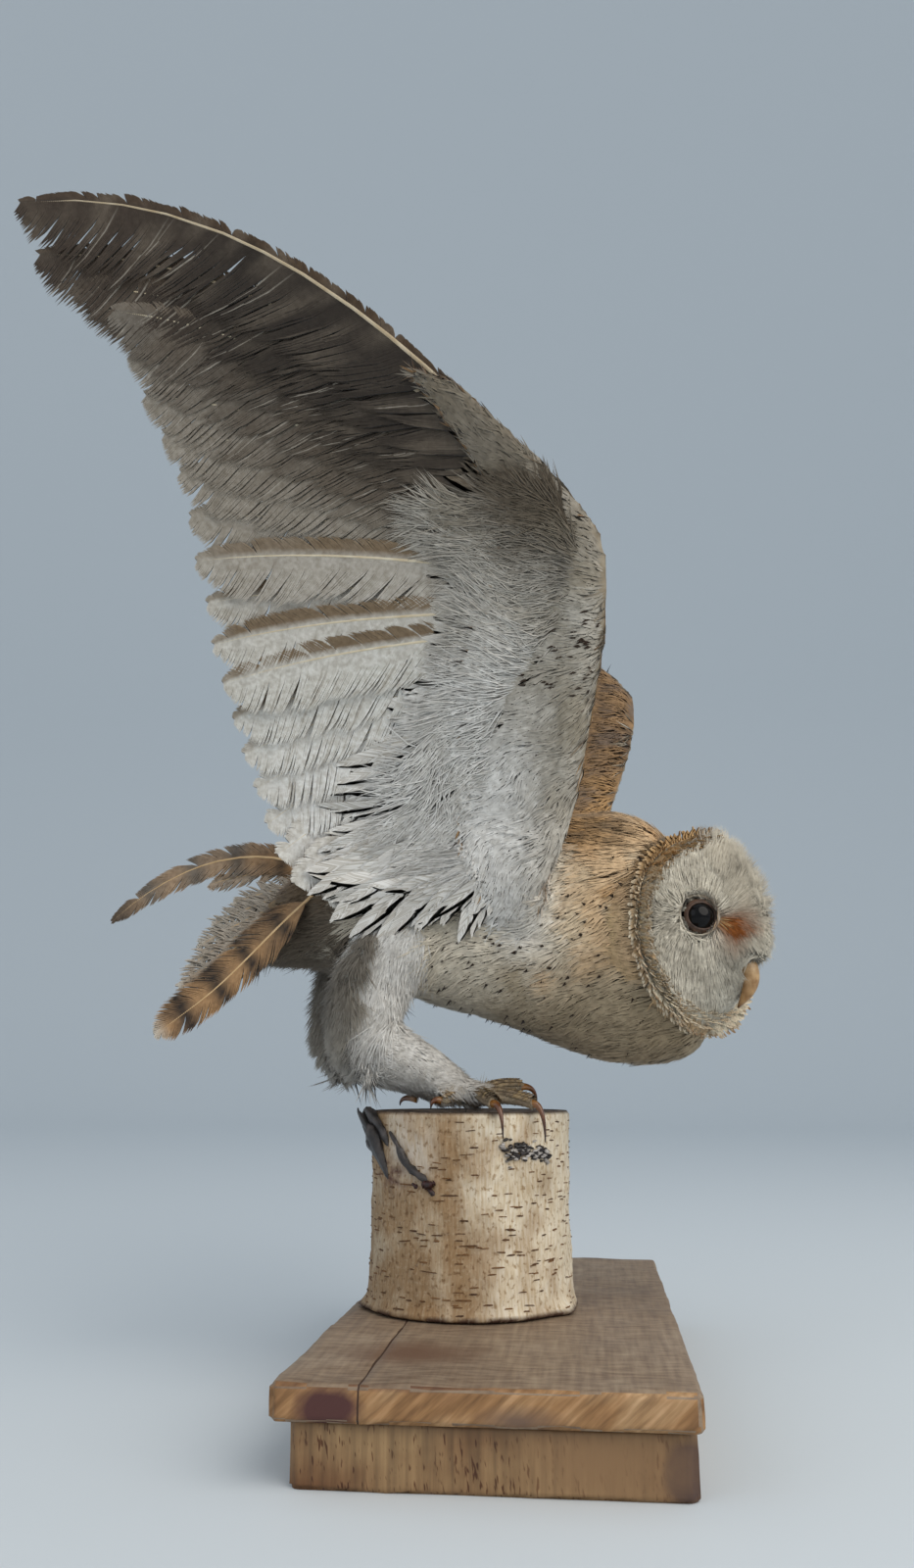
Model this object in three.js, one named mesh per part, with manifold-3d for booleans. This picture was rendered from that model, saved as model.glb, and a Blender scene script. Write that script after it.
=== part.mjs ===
// A barn owl mounted with raised wings on a birch log, on a two-layer wooden base.
//
// Millimetres, +Z up. The origin is the centre of the base's underside, +X runs to the owl's
// front and +Y away from its right wing. The owl is shaped in a frame of its own: the origin
// is the centre of the log's top, x runs forward, y to its left and z up.
import * as THREE from 'three';
import { mergeVertices } from 'three/addons/utils/BufferGeometryUtils.js';
import Module from 'manifold-3d';

const wasm = await Module();
wasm.setup();

// ---------------------------------------------------------------- driving dimensions

const GAP = 0.35;

const BLOCK = { width: 136, depth: 291, height: 21.5, shift: 2, bevel: 1 };
const PLATE = { width: 144, depth: 301, height: 12, bevel: 2 };
const LOG = { radius: 46, height: 85, centreX: -18.5, flare: 2.2, sides: 28 };
const OWL_TURN = THREE.MathUtils.degToRad(-5.4);

// Upright sections of neck and trunk: [x, underside z, top z, half width].
const BODY_SECTIONS = [
    [-110, 72, 82, 7],
    [-95, 71, 104, 18],
    [-78, 69, 120, 26],
    [-50, 62, 128, 33],
    [-24, 51, 131, 38],
    [10, 41, 134, 42],
    [38, 30.5, 138, 44],
    [60, 22.5, 141, 44],
    [78, 19.5, 140, 43],
    [94, 21, 131, 41],
    [107, 25, 112, 33],
    [115, 36, 82, 15],
];
const BODY_SQUARENESS = 2.25;
const BODY_SIDES = 18;
const NECK_START = 46;

// The head's own axes: f out of the face, s to the owl's right, u up, from between the eyes.
const HEAD = {
    origin: [120.5, -16, 84.5],
    turn: THREE.MathUtils.degToRad(30),
    halfWidth: 49,
    halfHeight: 43,
    middle: -4.5,
    depth: 50,
    ruff: 2.5,
    rimFront: -11,
    ridge: 36,
    ridgeSharpness: 2.4,
    ridgeRound: 3,
    sides: 24,
};
// The eyeball's middle lies behind and inside the place where the eye meets the face.
const EYE = { radius: 8, across: 16.4, set: -3.6 };
// The bill's halves: [forward, up, half depth, half breadth] along the middle of each.
const UPPER_BILL = [[4, -10, 5, 5], [12, -17, 5, 4.8], [15.6, -25.5, 4.4, 4], [14.2, -32.5, 3, 2.6],
    [8.8, -39.5, 0.5, 0.5]];
const LOWER_BILL = [[-4, -25, 3.4, 4], [4, -30.5, 3, 3.4], [7, -35.5, 1.3, 1.5]];

// The wing's plane holds the owl's fore-and-aft line and leans outwards from upright.
const WING = {
    lean: THREE.MathUtils.degToRad(28.4),
    hinge: 50,
    hingeZ: 124,
    drape: 16,
    drapeFrom: 12,
    drapeTo: -34,
    camber: 7,
    vane: 1.4,
    notch: 0.055,
};
// Flight feathers are numbered from the outermost primary, 0, to the innermost tertial, 22.
// Their roots and tips in the wing's plane: [number, x, height along the plane].
const FEATHER_ROOTS = [[-0.5, 53, 157], [3, 59, 138], [9.5, 62, 106], [14, 44, 74], [18, 26, 46],
    [20, 28, 20], [22.5, 46, -8]];
const FEATHER_TIPS = [[-0.5, -153, 293], [0.2, -164, 284], [1, -157, 266], [3, -127, 240],
    [5, -117, 204], [7, -106, 170], [9, -103, 131], [12, -99, 75], [15, -91, 24], [17, -82, -10],
    [18.5, -67, -32], [20, -36, -39], [22.5, 15, -32]];
// Share of its length that a feather bows towards the wing's front: the outermost, and the
// innermost. The bow of an outer feather is strongest towards its tip.
const OUTER_BOW = 0.2;
const INNER_BOW = 0.05;
const BOW_FADE = 3;
const BOW_LEAN = 0.35;
const PRIMARIES = 10;
const SECONDARIES = 18;
const FLIGHT_FEATHERS = 23;

// Front edge and rear edge of the fleshy wing, covered with small feathers, from the shoulder
// up past the wrist to the hand's end: [place, x, height along the plane].
const ARM_FRONT = [[0, 36, -50], [1, 58, -3], [2, 70, 40], [3, 80, 83], [4, 81, 106], [5, 79, 129],
    [6, 58, 158], [7, 22, 196]];
const ARM_REAR = [[0, 12, -46], [1, 4, -8], [2, 6, 36], [3, 20, 76], [4, 31, 104], [5, 34, 126],
    [6, 30, 153], [7, 2, 200]];
const ARM_THICKNESS = [[0, 8], [1, 20], [3, 15], [4, 14], [6, 7], [7, 3]];
const ARM = { edge: 1.6, breadth: 40, sink: 1, roundness: 0.8 };
const WRIST_PLACE = 3.7;
const SHOULDER_PLACE = 0;
const HAND_END_PLACE = 7;

// The tail, from its left outer feather, 0, to its right outer feather, 1: roots, tips and
// how far each feather arches, in the owl's frame.
const TAIL = {
    roots: [[-76, 8, 117], [-68, -10, 97]],
    tips: [[-197, 10, 95], [-140, -5, 72], [-146, -30, 29]],
    arch: [40, -4],
    thickness: 1.6,
    feathers: 11,
    notch: 0.05,
    rootShare: 0.08,
    split: 0.16,
    gap: 0.16,
};

// One leg: rings [x, z, half length, half breadth] of the feathered thigh and of the shank.
const THIGH = [[-14, 96, 19, 13], [-26, 78, 22, 17], [-40, 60, 18, 17], [-44, 42, 17, 15],
    [-44, 27, 14, 12.5], [-38, 17, 8, 8]];
const SHANK = [[-42, 29, 10, 10], [-32, 25.5, 13, 12], [-17, 19.5, 11, 10], [-4, 13, 7.6, 7.5],
    [6, 8, 4.8, 5.4]];
const LEG_SPREAD = 27;
const LEFT_LEG_BACK = 26;

// Toes as [heading in degrees from forward, outwards positive, length, knuckle lift] with the
// claw's reach and drop.
const TOE = {
    radius: 3.5,
    palm: [7, 6.6],
    palmRadius: 5,
    fall: 2.2,
    arch: 1.6,
    joints: [1.25, 1.02, 1.12, 0.95, 0.98],
    flatness: 0.9,
};
const RIGHT_TOES = [
    { name: 'outer', heading: 50, length: 18, lift: -1, reach: 7.5, drop: 14 },
    { name: 'middle', heading: 13, length: 29, lift: -1, reach: 5, drop: 16 },
    { name: 'inner', heading: -44, length: 25, lift: 6, reach: 10, drop: 7 },
    { name: 'hind', heading: 152, length: 16, lift: 0, reach: 4, drop: 3 },
];
const LEFT_TOES = [
    { name: 'outer', heading: 62, length: 16, lift: 0, reach: 9, drop: 3 },
    { name: 'middle', heading: 12, length: 27, lift: 0, reach: 9, drop: 3 },
    { name: 'inner', heading: -34, length: 23, lift: 0, reach: 9, drop: 3 },
    { name: 'hind', heading: 172, length: 16, lift: 0, reach: 7, drop: 3 },
];
const CLAW = {
    radius: 1.9,
    tip: 0.3,
    sides: 6,
    rings: 5,
    rootDepth: 2.5,
    rise: 2.4,
    taper: 1.3,
    cuticle: 1.2,
};

// ---------------------------------------------------------------- shared shape helpers

function material(color, roughness) {
    return new THREE.MeshStandardMaterial({ color, roughness, metalness: 0 });
}

const WOOD = {
    block: material('#c39a6b', 0.7),
    plate: material('#8f6f4f', 0.65),
    log: material('#c9ab86', 0.8),
};
const PLUMAGE = {
    white: material('#d9d4c8', 0.9),
    buff: material('#c79a66', 0.9),
    cream: material('#c6b294', 0.9),
    wing: material('#a59b8d', 0.85),
    tail: material('#a97f54', 0.85),
    disc: material('#cfcabf', 0.9),
};
const HORN = material('#a9713f', 0.4);
const SCALE = material('#7b6a55', 0.7);
const GLASS = material('#0a0a0c', 0.08);

// A smooth function through stations [key, value, value, ...], which gives the values at a key.
function through(stations) {
    const width = stations[0].length - 1;
    const slope = (i, c) => {
        const before = stations[Math.max(i - 1, 0)];
        const after = stations[Math.min(i + 1, stations.length - 1)];
        return (after[c] - before[c]) / (after[0] - before[0]);
    };
    return (key) => {
        let i = stations.findIndex((station) => station[0] > key) - 1;
        if (i < 0) i = key <= stations[0][0] ? 0 : stations.length - 2;
        const [start, end] = [stations[i], stations[i + 1]];
        const span = end[0] - start[0];
        const t = (key - start[0]) / span;
        const values = [];
        for (let c = 1; c <= width; c += 1) {
            const a = 2 * t ** 3 - 3 * t ** 2 + 1;
            const b = (t ** 3 - 2 * t ** 2 + t) * span;
            const d = (t ** 3 - t ** 2) * span;
            values.push(a * start[c] + b * slope(i, c) + (1 - a) * end[c] + d * slope(i + 1, c));
        }
        return width === 1 ? values[0] : values;
    };
}

// A closed solid from points and triangles, with its faces turned outwards.
function solid(positions, triangles) {
    let volume = 0;
    const corner = [new THREE.Vector3(), new THREE.Vector3(), new THREE.Vector3()];
    for (let i = 0; i < triangles.length; i += 3) {
        corner.forEach((point, c) => point.fromArray(positions, 3 * triangles[i + c]));
        volume += corner[0].dot(corner[1].cross(corner[2]));
    }
    const order = volume < 0 ? [0, 2, 1] : [0, 1, 2];
    const triVerts = new Uint32Array(triangles.length);
    for (let i = 0; i < triangles.length; i += 3) {
        order.forEach((from, to) => { triVerts[i + to] = triangles[i + from]; });
    }
    return new wasm.Manifold(new wasm.Mesh({
        numProp: 3, vertProperties: new Float32Array(positions), triVerts,
    }));
}

function solidFromGeometry(geometry) {
    const bare = geometry.clone();
    bare.deleteAttribute('normal');
    bare.deleteAttribute('uv');
    const merged = mergeVertices(bare, 1e-4);
    return solid([...merged.attributes.position.array], [...merged.index.array]);
}

// A solid skinned over closed rings of equal count, with a fan over each end.
function loft(rings) {
    const count = rings[0].length;
    const positions = [];
    const triangles = [];
    rings.forEach((ring) => ring.forEach((point) => positions.push(point.x, point.y, point.z)));
    for (let r = 0; r + 1 < rings.length; r += 1) {
        for (let i = 0; i < count; i += 1) {
            const j = (i + 1) % count;
            const [a, b] = [r * count + i, r * count + j];
            triangles.push(a, b, b + count, a, b + count, a + count);
        }
    }
    [0, rings.length - 1].forEach((r) => {
        const middle = new THREE.Vector3();
        rings[r].forEach((point) => middle.addScaledVector(point, 1 / count));
        const centre = positions.length / 3;
        positions.push(middle.x, middle.y, middle.z);
        for (let i = 0; i < count; i += 1) {
            const [a, b] = [r * count + i, r * count + (i + 1) % count];
            triangles.push(...(r === 0 ? [centre, b, a] : [centre, a, b]));
        }
    });
    return solid(positions, triangles);
}

// A thin solid round a curved surface. at(u, v) gives a point and the thickness there.
function slab(columns, rows, at) {
    const points = [];
    for (let i = 0; i < columns; i += 1) {
        for (let j = 0; j < rows; j += 1) points.push(at(i / (columns - 1), j / (rows - 1)));
    }
    const place = (i, j) => {
        const [column, row] = [Math.min(Math.max(i, 0), columns - 1), Math.min(Math.max(j, 0), rows - 1)];
        return points[column * rows + row].point.clone();
    };
    const positions = [];
    [0.5, -0.5].forEach((side) => {
        for (let i = 0; i < columns; i += 1) {
            for (let j = 0; j < rows; j += 1) {
                const along = place(i + 1, j).sub(place(i - 1, j));
                const across = place(i, j + 1).sub(place(i, j - 1));
                const offset = side * points[i * rows + j].thickness;
                const point = place(i, j).addScaledVector(along.cross(across).normalize(), offset);
                positions.push(point.x, point.y, point.z);
            }
        }
    });
    const back = columns * rows;
    const triangles = [];
    const quad = (a, b, c, d) => triangles.push(a, b, c, a, c, d);
    for (let i = 0; i + 1 < columns; i += 1) {
        for (let j = 0; j + 1 < rows; j += 1) {
            const a = i * rows + j;
            quad(a, a + rows, a + rows + 1, a + 1);
            quad(back + a, back + a + 1, back + a + rows + 1, back + a + rows);
        }
        const end = i * rows + rows - 1;
        quad(i * rows, back + i * rows, back + (i + 1) * rows, (i + 1) * rows);
        quad(end, end + rows, back + end + rows, back + end);
    }
    const last = (columns - 1) * rows;
    for (let j = 0; j + 1 < rows; j += 1) {
        quad(j, j + 1, back + j + 1, back + j);
        quad(last + j, back + last + j, back + last + j + 1, last + j + 1);
    }
    return solid(positions, triangles);
}

// A round solid along a line of stations { centre, across, up, halfAcross, halfUp }.
function limb(stations, sides, grow = 0) {
    return loft(stations.map((station) => {
        const ring = [];
        for (let i = 0; i < sides; i += 1) {
            const angle = (2 * Math.PI * i) / sides;
            ring.push(station.centre.clone()
                .addScaledVector(station.across, Math.cos(angle) * (station.halfAcross + grow))
                .addScaledVector(station.up, Math.sin(angle) * (station.halfUp + grow)));
        }
        return ring;
    }));
}

// The largest piece of a cut solid.
function largest(cut) {
    return cut.decompose().sort((a, b) => b.volume() - a.volume())[0];
}

function meshOf(name, cut, look) {
    const { vertProperties, triVerts } = cut.getMesh();
    const geometry = new THREE.BufferGeometry();
    geometry.setAttribute('position', new THREE.BufferAttribute(new Float32Array(vertProperties), 3));
    geometry.setIndex([...triVerts]);
    geometry.computeVertexNormals();
    const mesh = new THREE.Mesh(geometry, look);
    mesh.name = name;
    return mesh;
}

// ---------------------------------------------------------------- stand

function board(name, width, depth, height, bevel, look) {
    const outline = new THREE.Shape();
    outline.moveTo(-width / 2 + bevel, -depth / 2 + bevel);
    outline.lineTo(width / 2 - bevel, -depth / 2 + bevel);
    outline.lineTo(width / 2 - bevel, depth / 2 - bevel);
    outline.lineTo(-width / 2 + bevel, depth / 2 - bevel);
    outline.closePath();
    const geometry = new THREE.ExtrudeGeometry(outline, {
        depth: height - 2 * bevel,
        bevelEnabled: true,
        bevelThickness: bevel,
        bevelSize: bevel,
        bevelSegments: 2,
    });
    geometry.translate(0, 0, bevel);
    return meshOf(name, solidFromGeometry(geometry), look);
}

function logRing(z, radius) {
    const ring = [];
    for (let i = 0; i < LOG.sides; i += 1) {
        const angle = (2 * Math.PI * i) / LOG.sides;
        const uneven = 1 + 0.008 * Math.sin(2 * angle + 0.6) + 0.006 * Math.sin(5 * angle);
        const reach = radius * uneven;
        ring.push(new THREE.Vector3(Math.cos(angle) * reach, Math.sin(angle) * reach, z));
    }
    return ring;
}

function log() {
    const { radius, height, flare } = LOG;
    const rings = [
        logRing(GAP, radius - 1),
        logRing(1.6, radius + flare),
        logRing(6, radius + 0.4),
        logRing(height / 2, radius - 0.6),
        logRing(height - 1.2, radius),
        logRing(height, radius - 1),
    ];
    return meshOf('log', loft(rings), WOOD.log);
}

// ---------------------------------------------------------------- trunk, neck and head

const bodySection = through(BODY_SECTIONS);

function bodyRing(x, grow) {
    const [under, top, halfWidth] = bodySection(x);
    const middle = (under + top) / 2;
    const ring = [];
    for (let i = 0; i < BODY_SIDES; i += 1) {
        const angle = (2 * Math.PI * i) / BODY_SIDES;
        const [c, s] = [Math.cos(angle), Math.sin(angle)];
        const power = 2 / BODY_SQUARENESS;
        const y = Math.sign(c) * Math.abs(c) ** power * (halfWidth + grow);
        const z = middle + Math.sign(s) * Math.abs(s) ** power * ((top - under) / 2 + grow);
        ring.push(new THREE.Vector3(x, y, z));
    }
    return ring;
}

function evenStations(from, to, steps) {
    return Array.from({ length: steps + 1 }, (_, i) => from + ((to - from) * i) / steps);
}

function bodyLoft(stations, grow) {
    return loft(stations.map((x) => bodyRing(x, grow)));
}

const headForward = new THREE.Vector3(Math.cos(HEAD.turn), -Math.sin(HEAD.turn), 0);
const headRight = new THREE.Vector3(-Math.sin(HEAD.turn), -Math.cos(HEAD.turn), 0);
const UP = new THREE.Vector3(0, 0, 1);

function headPoint(f, s, u) {
    return new THREE.Vector3(...HEAD.origin)
        .addScaledVector(headForward, f)
        .addScaledVector(headRight, s)
        .addScaledVector(UP, u);
}

// How far the face stands forward: a sharp ridge down the middle that falls back to the ruff.
function faceFront(s, u) {
    const offMiddle = (u - HEAD.middle) / HEAD.halfHeight;
    const fade = Math.max(0, 1 - (offMiddle > 0 ? 0.68 : 0.98) * offMiddle ** 2);
    const offRidge = Math.hypot(s, HEAD.ridgeRound) - HEAD.ridgeRound;
    const inward = Math.max(0, 1 - offRidge / HEAD.halfWidth);
    return HEAD.rimFront + HEAD.ridge * inward ** HEAD.ridgeSharpness * fade;
}

// Rings over the head from its back pole, over the ruff, to the middle of the face.
function headLoft(grow) {
    const back = [0.2, 0.5, 0.75, 0.92, 1];
    const front = [0.92, 0.76, 0.6, 0.44, 0.28, 0.1];
    const rings = [];
    const ring = (scale, forward) => {
        const points = [];
        for (let i = 0; i < HEAD.sides; i += 1) {
            const angle = (2 * Math.PI * i) / HEAD.sides;
            const s = Math.sin(angle) * (HEAD.halfWidth + grow);
            const u = Math.cos(angle) * (HEAD.halfHeight + grow);
            points.push(headPoint(forward(s, u), s * scale, HEAD.middle + u * scale));
        }
        rings.push(points);
    };
    back.forEach((scale) => {
        const behind = (HEAD.depth + grow) * Math.sqrt(1 - scale ** 2);
        ring(scale, (s, u) => faceFront(s, HEAD.middle + u) - HEAD.ruff - behind);
    });
    ring(0.99, (s, u) => faceFront(s, HEAD.middle + u) + HEAD.ruff + grow);
    front.forEach((scale) => ring(scale, (s, u) => faceFront(s * scale, HEAD.middle + u * scale) + grow));
    return loft(rings);
}

function eyeBall(side, grow) {
    const geometry = new THREE.SphereGeometry(EYE.radius + grow, 12, 8);
    const centre = headPoint(EYE.set, side * EYE.across, 0);
    geometry.translate(centre.x, centre.y, centre.z);
    return solidFromGeometry(geometry);
}

function bill(stations, grow) {
    return limb(stations.map(([f, u, halfUp, halfAcross], i) => {
        const before = stations[Math.max(i - 1, 0)];
        const after = stations[Math.min(i + 1, stations.length - 1)];
        const angle = Math.atan2(after[1] - before[1], after[0] - before[0]) + Math.PI / 2;
        return {
            centre: headPoint(f, 0, u),
            across: headRight,
            up: headForward.clone().multiplyScalar(Math.cos(angle)).addScaledVector(UP, Math.sin(angle)),
            halfAcross,
            halfUp,
        };
    }), 8, grow);
}

// ---------------------------------------------------------------- wings

const featherRoot = through(FEATHER_ROOTS);
const featherTip = through(FEATHER_TIPS);
const armFront = through(ARM_FRONT);
const armRear = through(ARM_REAR);
const armThickness = through(ARM_THICKNESS);

// A place in the wing's plane, lifted off it by bulge towards the wing's underside. Below the
// shoulder the wing drapes outwards over the flank.
function wingPoint(side, x, height, bulge) {
    const drape = WING.drape * THREE.MathUtils.smoothstep(-height, -WING.drapeFrom, -WING.drapeTo);
    const out = WING.hinge + height * Math.sin(WING.lean) + bulge * Math.cos(WING.lean) + drape;
    const z = WING.hingeZ + height * Math.cos(WING.lean) - bulge * Math.sin(WING.lean);
    return new THREE.Vector3(x, side * out, z);
}

// A place on the sheet of flight feathers: number across it, share along the feather.
function featherPoint(side, number, share) {
    const [rootX, rootHeight] = featherRoot(number);
    const [tipX, tipHeight] = featherTip(number);
    const [dx, dh] = [tipX - rootX, tipHeight - rootHeight];
    const bow = INNER_BOW + OUTER_BOW * Math.exp(-(number + 0.5) / BOW_FADE);
    const bend = 2 * share * (1 - share) * bow * (1 + BOW_LEAN * (2 * share - 1));
    const x = rootX + dx * share + dh * bend;
    const height = rootHeight + dh * share - dx * bend;
    return wingPoint(side, x, height, -WING.camber * Math.sin(Math.PI * share));
}

function featherSheet(side, first, last, rows) {
    const columns = 2 * Math.round(last - first) + 1;
    return slab(columns, rows, (u, v) => {
        const number = first - 0.5 + u * (last - first);
        const offCentre = 2 * Math.abs(number - Math.round(number));
        const share = v * (1 - WING.notch * offCentre ** 2);
        return { point: featherPoint(side, number, share), thickness: WING.vane };
    });
}

function armPiece(side, from, to, columns, grow = 0) {
    const stretch = grow / ARM.breadth;
    return slab(columns, 6, (u, v) => {
        const place = from + (to - from) * (u * (1 + 2 * stretch) - stretch);
        const [frontX, frontHeight] = armFront(place);
        const [rearX, rearHeight] = armRear(place);
        const share = v * (1 + 2 * stretch) - stretch;
        const x = frontX + (rearX - frontX) * share;
        const height = frontHeight + (rearHeight - frontHeight) * share;
        const swell = Math.abs(Math.sin(Math.PI * Math.sqrt(v))) ** ARM.roundness;
        const thickness = ARM.edge + (armThickness(place) - ARM.edge) * swell;
        return { point: wingPoint(side, x, height, -ARM.sink), thickness: thickness + 2 * grow };
    });
}

function wing(prefix, side, bodySolid) {
    const arm = largest(armPiece(side, SHOULDER_PLACE, WRIST_PLACE, 10).subtract(bodySolid));
    const hand = armPiece(side, WRIST_PLACE + GAP / ARM.breadth, HAND_END_PLACE, 9);
    const flesh = armPiece(side, SHOULDER_PLACE, HAND_END_PLACE, 18, GAP);
    const keepOff = flesh.add(bodySolid);
    const edge = GAP / 20;
    const sheets = [
        ['primaries', 0, PRIMARIES, 6],
        ['secondaries', PRIMARIES + edge, SECONDARIES, 4],
        ['tertials', SECONDARIES + edge, FLIGHT_FEATHERS, 4],
    ];
    const meshes = [
        meshOf(`${prefix}_wing_arm`, arm, PLUMAGE.white),
        meshOf(`${prefix}_wing_hand`, hand, PLUMAGE.white),
    ];
    sheets.forEach(([name, first, last, rows]) => {
        const sheet = featherSheet(side, first, last, rows);
        meshes.push(meshOf(`${prefix}_${name}`, largest(sheet.subtract(keepOff)), PLUMAGE.wing));
    });
    return meshes;
}

// ---------------------------------------------------------------- tail

function tailPoint(number, share) {
    const [leftRoot, rightRoot] = TAIL.roots.map((point) => new THREE.Vector3(...point));
    const tips = new THREE.QuadraticBezierCurve3(...TAIL.tips.map((point) => new THREE.Vector3(...point)));
    const root = leftRoot.lerp(rightRoot, number);
    const tip = tips.getPoint(number);
    const arch = TAIL.arch[0] + (TAIL.arch[1] - TAIL.arch[0]) * Math.sqrt(number);
    return root.lerp(tip, share).addScaledVector(UP, arch * 2 * share * (1 - share));
}

function tailFan(from, to, columns, bodySolid) {
    const fan = slab(columns, 5, (u, v) => {
        const number = from + (to - from) * u;
        const offCentre = 2 * Math.abs(number * TAIL.feathers - Math.round(number * TAIL.feathers));
        const share = TAIL.rootShare + v * (1 - TAIL.rootShare - TAIL.notch * offCentre ** 2);
        return { point: tailPoint(number, share), thickness: TAIL.thickness };
    });
    return largest(fan.subtract(bodySolid));
}

// ---------------------------------------------------------------- legs

function legStations(rings, side, back) {
    return rings.map(([x, z, halfLong, halfBroad], i) => {
        const before = rings[Math.max(i - 1, 0)];
        const after = rings[Math.min(i + 1, rings.length - 1)];
        const angle = Math.atan2(after[1] - before[1], after[0] - before[0]) + Math.PI / 2;
        return {
            centre: new THREE.Vector3(x - back, side * LEG_SPREAD, z),
            across: new THREE.Vector3(0, 1, 0),
            up: new THREE.Vector3(Math.cos(angle), 0, Math.sin(angle)),
            halfAcross: halfBroad,
            halfUp: halfLong,
        };
    });
}

function toeLine(toe, side, back) {
    const heading = THREE.MathUtils.degToRad(toe.heading);
    const out = new THREE.Vector3(Math.cos(heading), side * Math.sin(heading), 0);
    const root = new THREE.Vector3(TOE.palm[0] - back, side * LEG_SPREAD, TOE.palm[1]);
    const end = root.clone().addScaledVector(out, toe.length).addScaledVector(UP, toe.lift - TOE.fall);
    return { out, root, end };
}

function toePiece(toe, side, back) {
    const { out, root, end } = toeLine(toe, side, back);
    const across = new THREE.Vector3(-out.y, out.x, 0);
    return limb(TOE.joints.map((size, i) => {
        const share = i / (TOE.joints.length - 1);
        const half = TOE.radius * size;
        const centre = root.clone().lerp(end, share);
        centre.z += TOE.arch * Math.sin(Math.PI * share);
        return { centre, across, up: UP, halfAcross: half, halfUp: half * TOE.flatness };
    }), 6);
}

function clawPiece(toe, side, back) {
    const { out, end } = toeLine(toe, side, back);
    const start = end.clone().addScaledVector(out, -CLAW.rootDepth);
    const bend = end.clone().addScaledVector(out, toe.reach).addScaledVector(UP, CLAW.rise);
    const tip = end.clone().addScaledVector(out, toe.reach).addScaledVector(UP, -toe.drop);
    const curve = new THREE.QuadraticBezierCurve3(start, bend, tip);
    const across = new THREE.Vector3(-out.y, out.x, 0);
    const stations = [];
    for (let i = 0; i <= CLAW.rings; i += 1) {
        const share = i / CLAW.rings;
        const half = CLAW.radius + (CLAW.tip - CLAW.radius) * share ** CLAW.taper;
        stations.push({
            centre: curve.getPoint(share),
            across,
            up: curve.getTangent(share).cross(across).normalize(),
            halfAcross: half,
            halfUp: half,
        });
    }
    return limb(stations, CLAW.sides);
}

function leg(prefix, side, back, toes, bodySolid) {
    const thighStations = legStations(THIGH, side, back);
    const shankStations = legStations(SHANK, side, back);
    const thigh = largest(limb(thighStations, 13).subtract(bodySolid));
    const shank = largest(limb(shankStations, 12).subtract(limb(thighStations, 13, GAP)));
    const palm = new THREE.SphereGeometry(TOE.palmRadius, 9, 6);
    palm.translate(TOE.palm[0] - back, side * LEG_SPREAD, TOE.palm[1] - GAP);
    let foot = solidFromGeometry(palm);
    toes.forEach((toe) => { foot = foot.add(toePiece(toe, side, back)); });
    const bareFoot = largest(foot.subtract(limb(shankStations, 12, GAP)));
    const meshes = [
        meshOf(`${prefix}_thigh`, thigh, PLUMAGE.white),
        meshOf(`${prefix}_shank`, shank, PLUMAGE.white),
        meshOf(`${prefix}_foot`, bareFoot, SCALE),
    ];
    toes.forEach((toe) => {
        const { end, out } = toeLine(toe, side, back);
        const shave = new THREE.SphereGeometry(TOE.radius + GAP, 8, 5);
        shave.translate(end.x - out.x * CLAW.cuticle, end.y - out.y * CLAW.cuticle, end.z);
        const claw = clawPiece(toe, side, back).subtract(solidFromGeometry(shave)).subtract(bareFoot);
        meshes.push(meshOf(`${prefix}_${toe.name}_claw`, largest(claw), HORN));
    });
    return meshes;
}

// ---------------------------------------------------------------- the whole mount

function owl() {
    const group = new THREE.Group();
    const [tailEnd, neckEnd] = [BODY_SECTIONS[0][0], BODY_SECTIONS[BODY_SECTIONS.length - 1][0]];
    const head = headLoft(0);
    const headSpace = headLoft(GAP);
    const trunkStations = evenStations(tailEnd, NECK_START, 12);
    const neckStations = evenStations(NECK_START + GAP, neckEnd, 8);
    const trunk = bodyLoft(trunkStations, 0);
    const neck = bodyLoft(neckStations, 0).subtract(headSpace);
    const bodySpace = bodyLoft([...trunkStations, ...neckStations], GAP);
    const upperBill = bill(UPPER_BILL, 0);
    const lowerBill = bill(LOWER_BILL, 0).subtract(bill(UPPER_BILL, GAP));
    const face = head
        .subtract(eyeBall(1, GAP))
        .subtract(eyeBall(-1, GAP))
        .subtract(bill(UPPER_BILL, GAP))
        .subtract(bill(LOWER_BILL, GAP));
    group.add(
        meshOf('trunk', trunk, PLUMAGE.cream),
        meshOf('neck', largest(neck), PLUMAGE.buff),
        meshOf('head', largest(face), PLUMAGE.disc),
        meshOf('right_eye', eyeBall(1, 0), GLASS),
        meshOf('left_eye', eyeBall(-1, 0), GLASS),
        meshOf('upper_bill', upperBill, HORN),
        meshOf('lower_bill', largest(lowerBill), HORN),
        meshOf('tail_left', tailFan(0, TAIL.split, 5, bodySpace), PLUMAGE.tail),
        meshOf('tail_right', tailFan(TAIL.split + TAIL.gap, 1, 18, bodySpace), PLUMAGE.tail),
    );
    const away = bodySpace.add(headSpace);
    group.add(...wing('right', -1, away), ...wing('left', 1, away));
    group.add(...leg('right', -1, 0, RIGHT_TOES, bodySpace));
    group.add(...leg('left', 1, LEFT_LEG_BACK, LEFT_TOES, bodySpace));
    return group;
}

const mount = new THREE.Group();
const block = board('base_block', BLOCK.width, BLOCK.depth, BLOCK.height - GAP, BLOCK.bevel, WOOD.block);
block.position.set(BLOCK.shift, 0, 0);
const plate = board('base_plate', PLATE.width, PLATE.depth, PLATE.height, PLATE.bevel, WOOD.plate);
plate.position.set(0, 0, BLOCK.height);
const logMesh = log();
const plateTop = BLOCK.height + PLATE.height;
logMesh.position.set(LOG.centreX, 0, plateTop);
const bird = owl();
bird.position.set(LOG.centreX, 0, plateTop + LOG.height);
bird.rotation.z = OWL_TURN;
mount.add(block, plate, logMesh, bird);

export default mount;
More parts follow.
